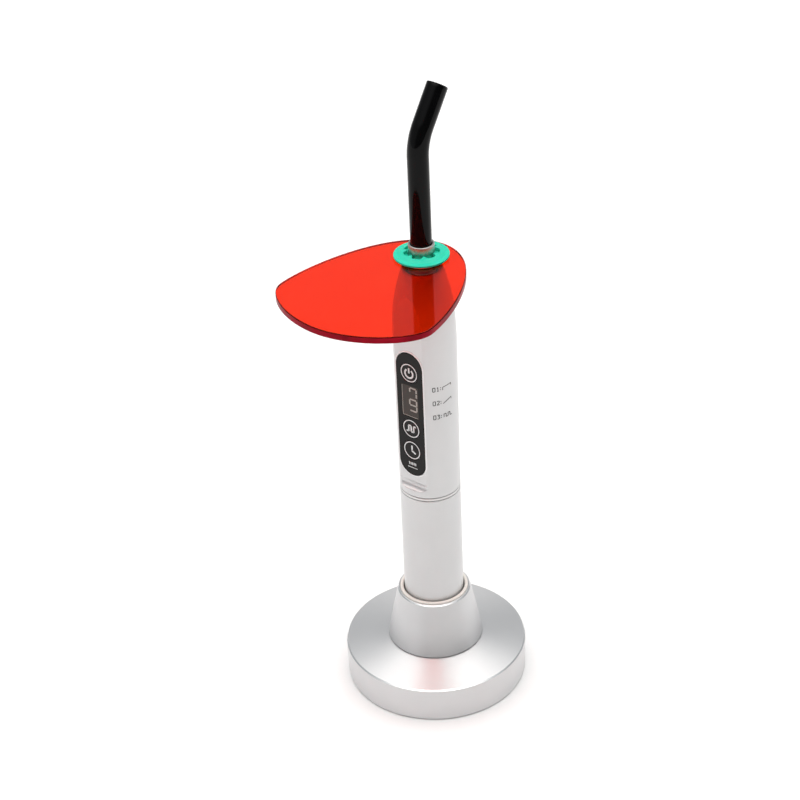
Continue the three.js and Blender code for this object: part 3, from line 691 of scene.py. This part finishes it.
def tail():
    """Tail cap with its ring contact and its centre contact."""
    low_z = low("tail_cap")[2]
    cap = lathe("tail_cap_fine", [
        (2.3, low_z, 0.15), (5.0, low_z, 0.15), (5.0, low_z + 0.9, 0.1), (8.2, low_z + 0.9, 0.1),
        (8.2, low_z, 0.15), (11.9, low_z, 0.6), (11.9, low_z + 1.9, 0.1), (10.4, low_z + 1.9, 0.1),
        (10.4, low_z + 4.9, 0.3),
        (2.3, low_z + 4.9, 0.2),
    ], sides=96)
    attach(cap, "lower_handpiece", "black_plastic", "tail_cap")
    ring = lathe("tail_ring_contact_fine", [
        (5.2, TAIL_Z, 0.2), (8.0, TAIL_Z, 0.2), (8.0, TAIL_Z + 0.8, 0.1), (5.2, TAIL_Z + 0.8, 0.1),
    ], sides=96)
    attach(ring, "tail_contact", "brass", "tail_ring_contact")
    top = high("tail_centre_contact")[2]
    centre = lathe("tail_centre_contact_fine", [
        (0, TAIL_Z), (2.1, TAIL_Z, 0.4), (2.1, top - 0.6, 0.1), (4.4, top - 0.6, 0.15), (4.4, top, 0.15),
        (0, top),
    ], sides=64)
    attach(centre, "lower_handpiece", "brass", "tail_centre_contact")


def joint_ring():
    """Trim ring with a shallow groove at each edge."""
    edge = TUBE_R - 0.03
    ring = lathe("joint_ring_fine", [
        (10.95, JOINT_LOW_Z, 0.1), (edge - 0.5, JOINT_LOW_Z, 0.05), (edge - 0.4, JOINT_LOW_Z + 0.18, 0.05),
        (edge, JOINT_LOW_Z + 0.34, 0.1), (edge, JOINT_TOP_Z - 0.34, 0.1),
        (edge - 0.4, JOINT_TOP_Z - 0.18, 0.05), (edge - 0.5, JOINT_TOP_Z, 0.05), (10.95, JOINT_TOP_Z, 0.1),
    ], sides=160)
    attach(ring, "trim_ring", "satin_aluminium", "joint_ring")


# ---------------------------------------------------------------- handle


def spline(points, steps):
    """A smooth curve through (r, z) points."""
    points = [np.array(p, float) for p in points]
    padded = [2 * points[0] - points[1], *points, 2 * points[-1] - points[-2]]
    out = []
    for i in range(1, len(padded) - 2):
        a, b, c, d = padded[i - 1:i + 3]
        for k in range(steps):
            t = k / steps
            curve = (2 * a - 5 * b + 4 * c - d) * t**2 + (3 * b - a - 3 * c + d) * t**3
            out.append(0.5 * (2 * b + (c - a) * t + curve))
    return [tuple(p) for p in [*out, points[-1]]]


NOSE = [(HANDLE_R, 158), (11.85, 167), (11.15, 173), (10.1, 178.2), (8.75, 183.4), (7.7, NOSE_TOP_Z)]
FLAT_COLUMNS = 24
FILLET_COLUMNS = 5
ROUND_COLUMNS = 120


def section(radius, flat, fillet, z):
    """One loop round the handle: a circle cut by a flat at y = -flat, with rounded edges between them."""
    hub = radius - fillet
    drop = flat - fillet
    half = math.sqrt(hub**2 - drop**2) if hub > drop > 0 else 0.0
    meets = math.atan2(half, drop) if half else 0.0
    edge = math.atan2(half, flat)
    flat_end = math.atan2(max(half, 0.8), flat)
    round_start = max(meets, flat_end + 0.03)
    reach = flat * math.tan(flat_end)
    angles = [math.atan2(reach * (2 * k / FLAT_COLUMNS - 1), flat) for k in range(FLAT_COLUMNS + 1)]
    rise = [flat_end + (round_start - flat_end) * k / FILLET_COLUMNS for k in range(1, FILLET_COLUMNS + 1)]
    sweep = 2 * (math.pi - round_start)
    rest = [round_start + sweep * k / ROUND_COLUMNS for k in range(1, ROUND_COLUMNS)]
    angles = [*angles, *rise, *rest, *[-a for a in reversed(rise)]]
    loop = []
    for angle in angles:
        turn = abs(math.remainder(angle, 2 * math.pi))
        if half and turn <= edge:
            distance = flat / math.cos(turn)
        elif half and turn < meets:
            away = hub * math.sin(meets - turn)
            distance = hub * math.cos(meets - turn) + math.sqrt(max(fillet**2 - away**2, 0))
        else:
            distance = radius
        loop.append((distance * math.sin(angle), -distance * math.cos(angle), z))
    return loop


def handle_rows():
    """(radius, flat, fillet, z) of each loop, up the outside and down the inside."""
    none = 20.0
    slope = (HANDLE_R - TUBE_R) / (NOSE[0][1] - HANDLE_Z)

    def body(z):
        return TUBE_R + slope * (z - HANDLE_Z)

    lift = math.sqrt(SCOOP_R**2 - (SCOOP_R - SCOOP_DEPTH) ** 2)
    centre_z = FLAT_Z - lift
    centre_y = -FLAT_Y - SCOOP_DEPTH + SCOOP_R
    rows = [(TUBE_R - 0.22, none, 0.1, HANDLE_Z), (TUBE_R - 0.07, none, 0.1, HANDLE_Z + 0.05)]
    rows += [(body(HANDLE_Z + h), none, 0.1, HANDLE_Z + h) for h in (0.2, 0.45, 1.2, 2.2)]
    for degrees in range(-88, 28, 5):
        tilt = math.radians(degrees)
        z = centre_z + SCOOP_R * math.sin(tilt)
        rows.append((body(z), centre_y - SCOOP_R * math.cos(tilt), 0.12, z))
    rows.append((body(FLAT_Z), -FLAT_Y, 0.3, FLAT_Z))
    rows += [(body(z), -FLAT_Y, 0.45, z) for z in (98.0, 99.0, 103, 112, 122, 132, 142, 150, 156)]
    rows += [(r, -FLAT_Y, 0.45, z) for r, z in spline(NOSE, 9)[:-1]]
    top = NOSE[-1][0]
    rim = [(top + 0.12, 0.4), (top + 0.02, 0.15), (top - 0.15, 0.03), (top - 0.35, 0.0)]
    rows = [row for row in rows if row[3] < NOSE_TOP_Z - 0.45]
    rows += [(r, none, 0.1, NOSE_TOP_Z - h) for r, h in rim]
    wall = -FLAT_Y - HANDLE_WALL
    bore = THREAD_R + 0.15
    rows += [(7.2, none, 0.1, NOSE_TOP_Z), (7.2, none, 0.1, 178.6)]
    rows += [(8.4, wall, 0.1, 176.5), (9.3, wall, 0.1, 173), (10.2, wall, 0.1, 167), (10.5, wall, 0.1, 160)]
    rows += [(10.5, wall, 0.1, THREAD_TOP_Z + 0.25), (bore, none, 0.1, THREAD_TOP_Z + 0.2)]
    rows += [(bore, none, 0.1, HANDLE_Z + 0.3), (bore + 0.2, none, 0.1, HANDLE_Z)]
    return rows


KEYS = {"power": 0, "mode": 0, "time": 0}
for key_name in KEYS:
    KEYS[key_name] = (low(f"button_{key_name}")[2] + high(f"button_{key_name}")[2]) / 2


def handle_shell():
    loops = [section(*row) for row in handle_rows()]
    shell = loft("handle_shell_fine", [*loops, loops[0]], sharp=24, close_ends=False)
    chamfer = 0.28
    pocket = loft("tool", [
        in_plane(stadium(0.1), PANEL_FLOOR_Y), in_plane(stadium(0.1), FLAT_Y + chamfer),
        in_plane(stadium(0.1 + chamfer), FLAT_Y), in_plane(stadium(0.1 + chamfer), FLAT_Y - 3),
    ])
    boolean(shell, [pocket], sharp=24)
    holes = [drum_tool(KEY_R + 0.2, -12, -8, centre=(0, 0, z)) for z in KEYS.values()]
    holes.append(loft("tool", [
        in_plane(box_outline(3.6, DISPLAY_LOW[2] + 0.4, DISPLAY_HIGH[2] - 0.4, 0.3), y) for y in (-12, -8)
    ]))
    boolean(shell, holes, sharp=24)
    attach(shell, "handle", "pearl_paint", "handle_shell")


def control_panel():
    """Glossy label plate with a rounded edge, three key holes and the display opening."""
    plate = loft("control_panel_fine", [
        in_plane(stadium(0.0), PANEL_FLOOR_Y), in_plane(stadium(0.0), PANEL_FACE_Y + 0.16),
        in_plane(stadium(-0.05), PANEL_FACE_Y + 0.05), in_plane(stadium(-0.16), PANEL_FACE_Y),
    ])
    holes = [drum_tool(KEY_R + 0.12, -12, -8, centre=(0, 0, z)) for z in KEYS.values()]
    window = box_outline(DISPLAY_HIGH[0] + 0.03, DISPLAY_LOW[2] - 0.03, DISPLAY_HIGH[2] + 0.03, 0.25)
    holes.append(loft("tool", [in_plane(window, -12), in_plane(window, -8)]))
    boolean(plate, holes)
    attach(plate, "handle", "panel_black", "control_panel")
    # Painted highlight: a white strip in the gap between panel and pocket stands in for the light that the
    # pocket's edge catches.
    bead = ((0.05, 0.1), (0.2, -0.16), (0.6, -0.14), (0.75, 0.06))
    rim = [in_plane(stadium(grow), FLAT_Y + y) for grow, y in bead]
    highlight_strip = loft("panel_painted_highlight", [*rim, rim[0]], close_ends=False)
    attach(highlight_strip, "handle", "cream_plastic", material=WHITE_EDGE)


def stroke(points, width, closed=False):
    """Left and right sides of a flat line drawn through (x, z) points, and whether it closes on itself."""
    count = len(points)
    sides = []
    for i, point in enumerate(points):
        before = np.array(points[i - 1] if i or closed else points[0], float)
        after = np.array(points[(i + 1) % count] if i < count - 1 or closed else points[-1], float)
        along = after - before
        along /= np.linalg.norm(along)
        normal = np.array([-along[1], along[0]]) * width / 2
        sides.append((np.array(point) + normal, np.array(point) - normal))
    return sides, closed


def thin(name, strokes, wrap, thickness=0.03):
    """Thin printed marks: each stroke is a strip with a front and a back, placed by wrap(x, z, depth)."""
    points, faces = [], []
    for sides, closed in strokes:
        start = len(points)
        for left, right in sides:
            points += [wrap(*left, 0), wrap(*right, 0), wrap(*left, thickness), wrap(*right, thickness)]
        count = len(sides)
        for i in range(count if closed else count - 1):
            a, b = start + 4 * i, start + 4 * ((i + 1) % count)
            faces += [(a, a + 1, b + 1, b), (a + 2, b + 2, b + 3, a + 3), (a, b, b + 2, a + 2),
                      (a + 1, a + 3, b + 3, b + 1)]
        if not closed:
            end = start + 4 * (count - 1)
            faces += [(start, start + 2, start + 3, start + 1), (end, end + 1, end + 3, end + 2)]
    return make(name, points, faces, weighted=False)


def key_icons():
    """Strokes of the three generic key signs, centred on the key: power, pulse and clock."""
    power = [stroke(arc_points(0, -0.25, 1.85, 125, 415, 32), 0.72), stroke([(0, -0.1), (0, 2.2)], 0.72)]
    low_z, high_z = -1.3, 1.3
    wave = [(-2.3, low_z), (-1.2, low_z), (-1.2, high_z), (0, high_z), (0, low_z), (1.2, low_z),
            (1.2, high_z), (2.3, high_z)]
    pulse = [stroke(pair, 0.68) for pair in zip(wave, wave[1:])]
    clock = [stroke([(0, -0.3), (0, 2.2)], 0.72), stroke([(-0.25, -0.1), (1.7, -1.2)], 0.72)]
    return {"power": power, "mode": pulse, "time": clock}


def keys():
    """Round keys with a dished top, a printed ring and a generic sign."""
    wall = FLAT_Y + HANDLE_WALL
    icons = key_icons()
    for name, z in KEYS.items():
        cap = lathe(f"button_{name}_fine", [
            (0, PANEL_FACE_Y + 0.05), (KEY_R - 0.5, PANEL_FACE_Y + 0.05, 0.5),
            (KEY_R - 0.2, PANEL_FACE_Y, 0.1), (KEY_R, PANEL_FACE_Y + 0.12, 0.1), (KEY_R, wall + 0.06, 0.05),
            (KEY_R + 0.42, wall + 0.06, 0.05), (KEY_R + 0.42, wall + 0.5, 0.1), (1, wall + 0.5, 0.1),
            (1, wall + 1.1, 0.1), (0, wall + 1.1),
        ], sides=96, axis="Y", centre=(0, 0, z))
        attach(cap, f"{name}_key", "panel_black", f"button_{name}")

        def wrap(x, up, depth, z=z):
            return x, PANEL_FACE_Y + 0.05 - depth, z + up

        ring = stroke(arc_points(0, 0, 3.74, 0, 355, 71), 0.56, True)
        sign = thin(f"button_{name}_print", [ring, *icons[name]], wrap)
        attach(sign, f"{name}_key", "panel_black", material=INK)


def segments(x, z, width, height, lit):
    """The lit ones of a digit's seven bars."""
    w, h = width / 2, height / 2
    gap = 0.2
    bars = {"b": [(w, h - gap), (w, gap)], "c": [(w, -gap), (w, -h + gap)], "f": [(-w, h - gap), (-w, gap)]}
    for name, level in (("a", h), ("d", -h), ("g", 0)):
        bars[name] = [(-w + gap, level), (w - gap, level)]
    return [stroke([(x + px, z + pz) for px, pz in bars[bar]], 0.62) for bar in lit]


def display():
    """Smoked pane with a two-digit seven-segment readout, and a painted highlight: a fine light line along
    two of its edges.
    """
    half, bottom, top = DISPLAY_HIGH[0], DISPLAY_LOW[2], DISPLAY_HIGH[2]
    face = DISPLAY_LOW[1]
    pane = loft("display_window_fine", [
        in_plane(box_outline(half, bottom, top, 0.22), DISPLAY_HIGH[1]),
        in_plane(box_outline(half, bottom, top, 0.22), face + 0.08),
        in_plane(box_outline(half - 0.08, bottom + 0.08, top - 0.08, 0.18), face),
    ])
    attach(pane, "handle", "smoked_window", "display_window")
    middle = (bottom + top) / 2

    def wrap(x, z, depth):
        return x, face - depth * 0.6, z

    bars = segments(1.6, middle + 4.2, 3.1, 4.0, "abcf") + segments(1.5, middle - 1.4, 3.3, 5.0, "abcdfg")
    # Painted highlight: a light strip along the pane's left and lower edges stands in for the light that
    # those edges catch.
    edge_highlight_line = [(-half + 0.35, top - 0.5), (-half + 0.35, bottom + 0.35), (half - 0.4, bottom + 0.35)]
    bars += [stroke(line, 0.18) for line in (edge_highlight_line[:2], edge_highlight_line[1:])]
    attach(thin("display_segments_and_highlight", bars, wrap), "handle", "smoked_window", material=SEGMENT_AND_HIGHLIGHT)


def panel_marks():
    """Small generic marks under the lowest key: a row of level bars over a line."""
    def wrap(x, z, depth):
        return x, PANEL_FACE_Y - depth, z

    marks = [stroke([(x, 105.2), (x, 106.4)], 0.42) for x in (-1.5, -0.75, 0, 0.75, 1.5)]
    marks.append(stroke([(-2.3, 104.0), (2.3, 104.0)], 0.28))
    attach(thin("panel_marks", marks, wrap), "handle", "panel_black", material=INK)


def legend():
    """Numbered pulse shapes printed on the handle's side."""
    radius = 12.16

    def wrap(along, z, depth):
        angle = along / radius
        reach = radius + depth
        return reach * math.sin(angle), -reach * math.cos(angle), z

    step = [[(0, -0.9), (0, 0.35)], [(0, 0.35), (4.0, 0.85)], [(4.0, 0.85), (4.0, -0.1)]]
    ramp = [[(0, -0.8), (4.0, 0.85)], [(4.0, 0.85), (4.0, -0.1)]]
    pulses = []
    for k in range(2):
        x = 0.2 + 1.95 * k
        pulses += [[(x, -0.75), (x, 0.7)], [(x, 0.7), (x + 0.98, 0.7)], [(x + 0.98, 0.7), (x + 0.98, -0.75)],
                   [(x + 0.98, -0.75), (x + 1.95, -0.75)]]
    digits = {
        "0": [[(0, 0.85), (0, -0.85), (0.95, -0.85), (0.95, 0.85), (0, 0.85)]],
        "1": [[(0.15, 0.5), (0.5, 0.85), (0.5, -0.85)], [(0.15, -0.85), (0.85, -0.85)]],
        "2": [[(0, 0.6), (0.15, 0.85), (0.8, 0.85), (0.95, 0.3), (0, -0.85), (1.0, -0.85)]],
        "3": [[(0, 0.85), (0.9, 0.85), (0.4, 0.12), (0.9, -0.15), (0.85, -0.75), (0, -0.85)]],
    }
    strokes = []

    def draw(lines, x, z, width):
        for line in lines:
            for a, b in zip(line, line[1:]):
                steps = max(1, math.ceil(math.dist(a, b) / 0.4))
                path = [(x + a[0] + (b[0] - a[0]) * k / steps, z + a[1] + (b[1] - a[1]) * k / steps)
                        for k in range(steps + 1)]
                strokes.append(stroke(path, width))

    for digit, z, shape in (("1", 141.2, step), ("2", 135.1, ramp), ("3", 128.8, pulses)):
        start = radius * math.radians(49)
        draw(digits["0"], start, z, 0.3)
        draw(digits[digit], start + 1.6, z, 0.3)
        draw([[(0, 0.25), (0, 0.6)], [(0, -0.6), (0, -0.25)]], start + 3.2, z, 0.34)
        draw(shape, radius * math.radians(68.5), z, 0.28)
    attach(thin("mode_legend", strokes, wrap, 0.02), "handle", "pearl_paint", material=LEGEND)


# ---------------------------------------------------------------- guide and shield


def guide_socket():
    """Socket in the nose, with a groove for the O-ring that grips the ferrule."""
    lo, hi = low("guide_socket"), high("guide_socket")
    bore = FERRULE_R + 0.12
    groove_top = 181.8
    socket = lathe("guide_socket_fine", [
        (4, lo[2], 0.1), (7.9, lo[2], 0.2), (7.9, 175.4, 0.1), (7.0, 177.6, 0.1), (7.0, hi[2], 0.25),
        (bore, hi[2], 0.35), (bore, groove_top, 0.05), (6.3, groove_top, 0.05), (6.3, groove_top - 1.4, 0.05),
        (bore, groove_top - 1.4, 0.05), (bore, FERRULE_LOW_Z - 0.1, 0.05), (4, FERRULE_LOW_Z - 0.1, 0.1),
    ], sides=96)
    attach(socket, "handle", "steel", "guide_socket")


def guide_ferrule():
    """Polished sleeve with a rolled rim and two fine turned lines."""
    bore = GUIDE_R + 0.1
    lines = []
    for z in (FERRULE_LOW_Z + 4.5, FERRULE_LOW_Z + 8):
        lines += [(FERRULE_R - deep, z + up, 0.05)
                  for deep, up in ((0, 0), (0.15, 0.15), (0.15, 0.35), (0, 0.5))]
    sleeve = lathe("guide_ferrule_fine", [
        (bore, FERRULE_LOW_Z, 0.1), (FERRULE_R, FERRULE_LOW_Z, 0.3), *lines,
        (FERRULE_R, FERRULE_TOP_Z, 0.45), (bore, FERRULE_TOP_Z, 0.25),
    ], sides=128)
    attach(sleeve, "ferrule", "steel", "guide_ferrule", material=SLEEVE)


def guide_frame(along):
    """Centre and direction of the guide at a distance from its lower end."""
    rise = BEND_START_Z - GUIDE_LOW_Z
    turn = min(max((along - rise) / BEND_RADIUS, 0), BEND_ANGLE)
    after = max(along - rise - BEND_RADIUS * BEND_ANGLE, 0)
    before = min(along, rise)
    y = BEND_RADIUS * (1 - math.cos(turn)) + after * math.sin(turn)
    z = GUIDE_LOW_Z + before + BEND_RADIUS * math.sin(turn) + after * math.cos(turn)
    return Vector((0, y, z)), turn


def guide_loop(along, radius, sides=96):
    centre, turn = guide_frame(along)
    loop = []
    for k in range(sides):
        angle = 2 * math.pi * k / sides
        x, across = radius * math.cos(angle), radius * math.sin(angle)
        loop.append((x, centre.y + across * math.cos(turn), centre.z - across * math.sin(turn)))
    return loop


def light_guide():
    """The clad rod, with a glass core showing at its tip and at its lower end."""
    rise = BEND_START_Z - GUIDE_LOW_Z
    arc = BEND_RADIUS * BEND_ANGLE
    total = rise + arc + TIP_LENGTH
    rim, skin = 0.28, 0.3
    ends = [(0.12, GUIDE_R - skin), (0, GUIDE_R - skin), (0, GUIDE_R - 0.2), (0.05, GUIDE_R - 0.08),
            (0.2, GUIDE_R)]
    stations = [rise * k / 8 for k in range(1, 8)] + [rise - 0.5]
    stations += [rise + arc * k / 14 for k in range(15)]
    stations += [rise + arc + TIP_LENGTH * share for share in (0.05, 0.3, 0.6, 0.9)]
    plan = [*ends, *[(s, GUIDE_R) for s in stations], (total - rim, GUIDE_R), (total - 0.12, GUIDE_R - 0.05),
            (total - 0.03, GUIDE_R - 0.14), (total, GUIDE_R - rim), (total, GUIDE_R - 0.42),
            (total - 0.1, GUIDE_R - 0.5)]
    rod = loft("light_guide_fine", [guide_loop(along, radius) for along, radius in plan], sharp=32)
    attach(rod, "guide", "coated_glass", "light_guide")
    core = loft("light_guide_core", [
        guide_loop(total - 0.11, GUIDE_R - 0.52), guide_loop(total - 0.06, GUIDE_R - 0.52),
        guide_loop(total - 0.02, GUIDE_R - 0.58),
    ])
    attach(core, "guide", "coated_glass", material=FIBRE)


def shield_ring():
    """Silicone ring: a thin flared lip, a neck that holds the shield, and a hole with rounded teeth."""
    grip = FERRULE_R + 0.15
    outside = rounded([
        (0, RING_LOW_Z), (RING_FOOT_R, RING_LOW_Z, 0.5), (RING_FOOT_R, SHIELD_Z - 0.1, 0.25),
        (RING_NECK_R, SHIELD_Z - 0.1, 0.1), (RING_NECK_R, SHIELD_TOP_Z + 0.1, 0.1),
        (RING_R - 0.6, SHIELD_TOP_Z + 0.12, 0.3), (RING_R, RING_LIP_Z + 0.1, 0.15),
        (RING_R, RING_LIP_Z + 0.85, 0.25), (RING_R - 0.7, RING_LIP_Z + 1.0, 0.3),
        (RING_R - 1.6, RING_LIP_Z + 1.0, 0.8), (RING_VALLEY_R + 0.6, RING_TOP_Z - 0.43),
    ], closed=False)[1:]
    per_tooth = 28
    sides = RING_TEETH * per_tooth
    waves = []
    for k in range(sides):
        place = k / per_tooth % 1
        share = min(1.0, min(place, 1 - place) / 0.27)
        waves.append(grip + (RING_VALLEY_R - grip) * share * share * (3 - 2 * share))
    rows = [[(r, z)] * sides for r, z in outside]

    def crown(r):
        return RING_TOP_Z - 0.43 + 0.21 * (RING_VALLEY_R + 0.6 - r)

    for grow, drop in ((0.5, 0), (0.2, 0.05), (0.06, 0.2), (0, 0.5)):
        rows.append([(wave + grow, crown(wave + grow) - drop) for wave in waves])
    shelf = RING_TOP_Z - 1.5
    rows += [[(wave, z) for wave in waves] for z in (shelf + 0.3, shelf)]
    rows += [[((wave + grip) / 2, shelf - 0.1) for wave in waves], [(grip, shelf - 0.15)] * sides]
    rows += [[(grip, shelf - 1.0)] * sides, [(wave, shelf - 1.1) for wave in waves]]
    rows += [[(wave + grow, RING_LOW_Z + up) for wave in waves]
             for grow, up in ((0, 0.5), (0.15, 0.12), (0.45, 0))]
    loops = []
    for row in rows:
        angles = [RING_PHASE + 2 * math.pi * k / sides for k in range(sides)]
        loops.append([(r * math.cos(a), r * math.sin(a), z) for a, (r, z) in zip(angles, row)])
    ring = loft("shield_ring_fine", [*loops, loops[0]], sharp=40, close_ends=False)
    attach(ring, "silicone_ring", "mint_silicone", "shield_ring")


def bezier(points, steps):
    a, b, c, d = (np.array(p, float) for p in points)
    out = []
    for k in range(steps):
        t = k / steps
        out.append((1 - t) ** 3 * a + 3 * (1 - t) ** 2 * t * b + 3 * (1 - t) * t * t * c + t**3 * d)
    return out


def shield_outline():
    """The plate's edge, clockwise from its rear: a tight rear, sides that bow out, and a broad front."""
    rear, front, half, widest = SHIELD_REAR, -SHIELD_FRONT, SHIELD_HALF, -SHIELD_WIDEST
    rear_pull, side_pull, corner_pull, front_pull = 21.1, 17.7, 8.45, 16.5
    right = bezier([(0, rear), (rear_pull, rear), (half, widest + side_pull), (half, widest)], 56)
    right += bezier([(half, widest), (half, widest - corner_pull), (front_pull, front), (0, front)], 40)
    return right + [np.array((0.0, front))] + [np.array((-x, y)) for x, y in reversed(right[1:])]


def shield_plate():
    """Flat filter plate with a polished, softly rounded rim and a hole for the ring's neck."""
    outline = shield_outline()
    count = len(outline)
    normals = []
    for i in range(count):
        along = outline[(i + 1) % count] - outline[i - 1]
        along /= np.linalg.norm(along)
        normals.append(np.array((along[1], -along[0])))
    hole = RING_NECK_R + 0.2
    angles = [2 * math.pi * k / count for k in range(count)]
    edge = 0.4
    quarter = [math.radians(15 * k) for k in range(7)]
    arc = [(0.1 + edge * (1 - math.cos(a)), edge * (1 - math.sin(a))) for a in quarter]
    cosine, sine = math.cos(SHIELD_TURN), math.sin(SHIELD_TURN)
    spin = np.array([(cosine, -sine), (sine, cosine)])

    def outer(inset, z):
        return [(*(spin @ (p + n * inset)), z) for p, n in zip(outline, normals)]

    def inner(z, grow=0.0):
        radius = hole + grow
        return [(*(spin @ np.array((radius * math.sin(a), radius * math.cos(a)))), z) for a in angles]

    rim = [outer(inset, SHIELD_Z + drop) for inset, drop in reversed(arc)]
    rim += [outer(inset, SHIELD_TOP_Z - drop) for inset, drop in arc]
    loops = [outer(1.0, SHIELD_Z), *rim, outer(1.0, SHIELD_TOP_Z), inner(SHIELD_TOP_Z, 0.6)]
    loops += [inner(SHIELD_TOP_Z, 0.12), inner(SHIELD_TOP_Z - 0.12), inner(SHIELD_Z + 0.12)]
    loops += [inner(SHIELD_Z, 0.12), inner(SHIELD_Z, 0.6)]
    plate = loft("shield_plate_fine", [*loops, loops[0]], sharp=35, close_ends=False)
    attach(plate, "eye_shield", "orange_acrylic", "shield_plate")
    # Painted glow: an opaque crimson band just inside the plate's flat rim stands in for the light that the
    # acrylic carries to its edge.
    band = [(0.04, 0.3), (0.04, 2.35), (0.07, 2.35), (0.07, 0.3)]
    strips = [outer(inset, SHIELD_Z + h) for inset, h in band]
    strip = loft("shield_plate_painted_glow", [*strips, strips[0]], sharp=35, close_ends=False)
    attach(strip, "eye_shield", "orange_acrylic", material=CRIMSON)


# ---------------------------------------------------------------- floor, light and camera


def add_floor():
    """A plain floor, a hair below the foot pad so that the two don't coincide."""
    size = 6.0
    mesh = bpy.data.meshes.new("floor")
    depth = -0.02 * MM
    corners = [(-size, -size, depth), (size, -size, depth), (size, size, depth), (-size, size, depth)]
    mesh.from_pydata(corners, [], [(0, 1, 2, 3)])
    floor = bpy.data.objects.new("floor", mesh)
    SCENE.collection.objects.link(floor)
    mesh.materials.append(floor_paint())


def add_world():
    """A pale studio: bright overhead, greyer towards the horizon and darker to the camera's right."""
    world = bpy.data.worlds.new("studio")
    world.use_nodes = True
    SCENE.world = world
    nodes, link = world.node_tree.nodes, world.node_tree.links.new
    background = nodes["Background"]
    place = nodes.new("ShaderNodeTexCoord").outputs["Generated"]
    split = nodes.new("ShaderNodeSeparateXYZ")
    link(place, split.inputs["Vector"])
    ramp = nodes.new("ShaderNodeValToRGB")
    cool, warm = (0.97, 1.0, 1.025), (1.02, 1.0, 0.98)
    stops = [(0.0, 0.22, cool), (0.2, 0.17, cool), (0.5, 0.17, cool), (0.67, 0.27, cool),
             (0.85, 0.95, warm), (1.0, 1.0, warm)]
    while len(ramp.color_ramp.elements) < len(stops):
        ramp.color_ramp.elements.new(0.5)
    for element, (position, value, tint) in zip(ramp.color_ramp.elements, stops):
        element.position = position
        element.color = (*[value * c for c in tint], 1)
    link(split.outputs["Z"], ramp.inputs["Fac"])
    link(ramp.outputs["Color"], background.inputs["Color"])

    side = nodes.new("ShaderNodeVectorMath")
    side.operation = "DOT_PRODUCT"
    side.inputs[1].default_value = (0.848, -0.53, 0)
    link(place, side.inputs[0])

    def ease(value, start, end, first, last):
        made = nodes.new("ShaderNodeMapRange")
        made.interpolation_type = "SMOOTHSTEP"
        for key, number in {"From Min": start, "From Max": end, "To Min": first, "To Max": last}.items():
            made.inputs[key].default_value = number
        link(value, made.inputs["Value"])
        return made.outputs["Result"]

    dark = nodes.new("ShaderNodeMath")
    dark.operation = "MULTIPLY"
    link(ease(side.outputs["Value"], 0.3, 0.75, 0, 1), dark.inputs[0])
    link(ease(split.outputs["Z"], 0.52, 0.7, 1, 0), dark.inputs[1])
    link(ease(dark.outputs["Value"], 0, 1, 2.55, 0.45), background.inputs["Strength"])


def add_camera():
    """Looks down past the panel's right-hand side, with a long lens and a slight roll."""
    azimuth, elevation, roll = map(math.radians, (39.5, 31.81, -2.667))
    target = Vector((-0.12, -16.29, 137.9)) * MM
    distance = 0.7594
    level = math.cos(elevation)
    away = Vector((math.sin(azimuth) * level, -math.cos(azimuth) * level, math.sin(elevation)))
    camera = bpy.data.objects.new("camera", bpy.data.cameras.new("camera"))
    camera.data.lens = 90.27
    camera.data.sensor_width = 36
    camera.data.clip_start = 0.01
    turn = (-away).to_track_quat("-Z", "Y").to_matrix().to_4x4() @ Matrix.Rotation(roll, 4, "Z")
    camera.matrix_world = Matrix.Translation(target + away * distance) @ turn
    SCENE.collection.objects.link(camera)
    SCENE.camera = camera


SCENE.view_settings.view_transform = "Standard"

add_camera()
dress_cad_nodes()
base_shell()
socket_collar()
socket_liner()
foot_pad()
power_jack()
battery_tube()
tail()
joint_ring()
handle_shell()
control_panel()
keys()
display()
panel_marks()
legend()
guide_socket()
guide_ferrule()
light_guide()
shield_ring()
shield_plate()

add_floor()
add_world()
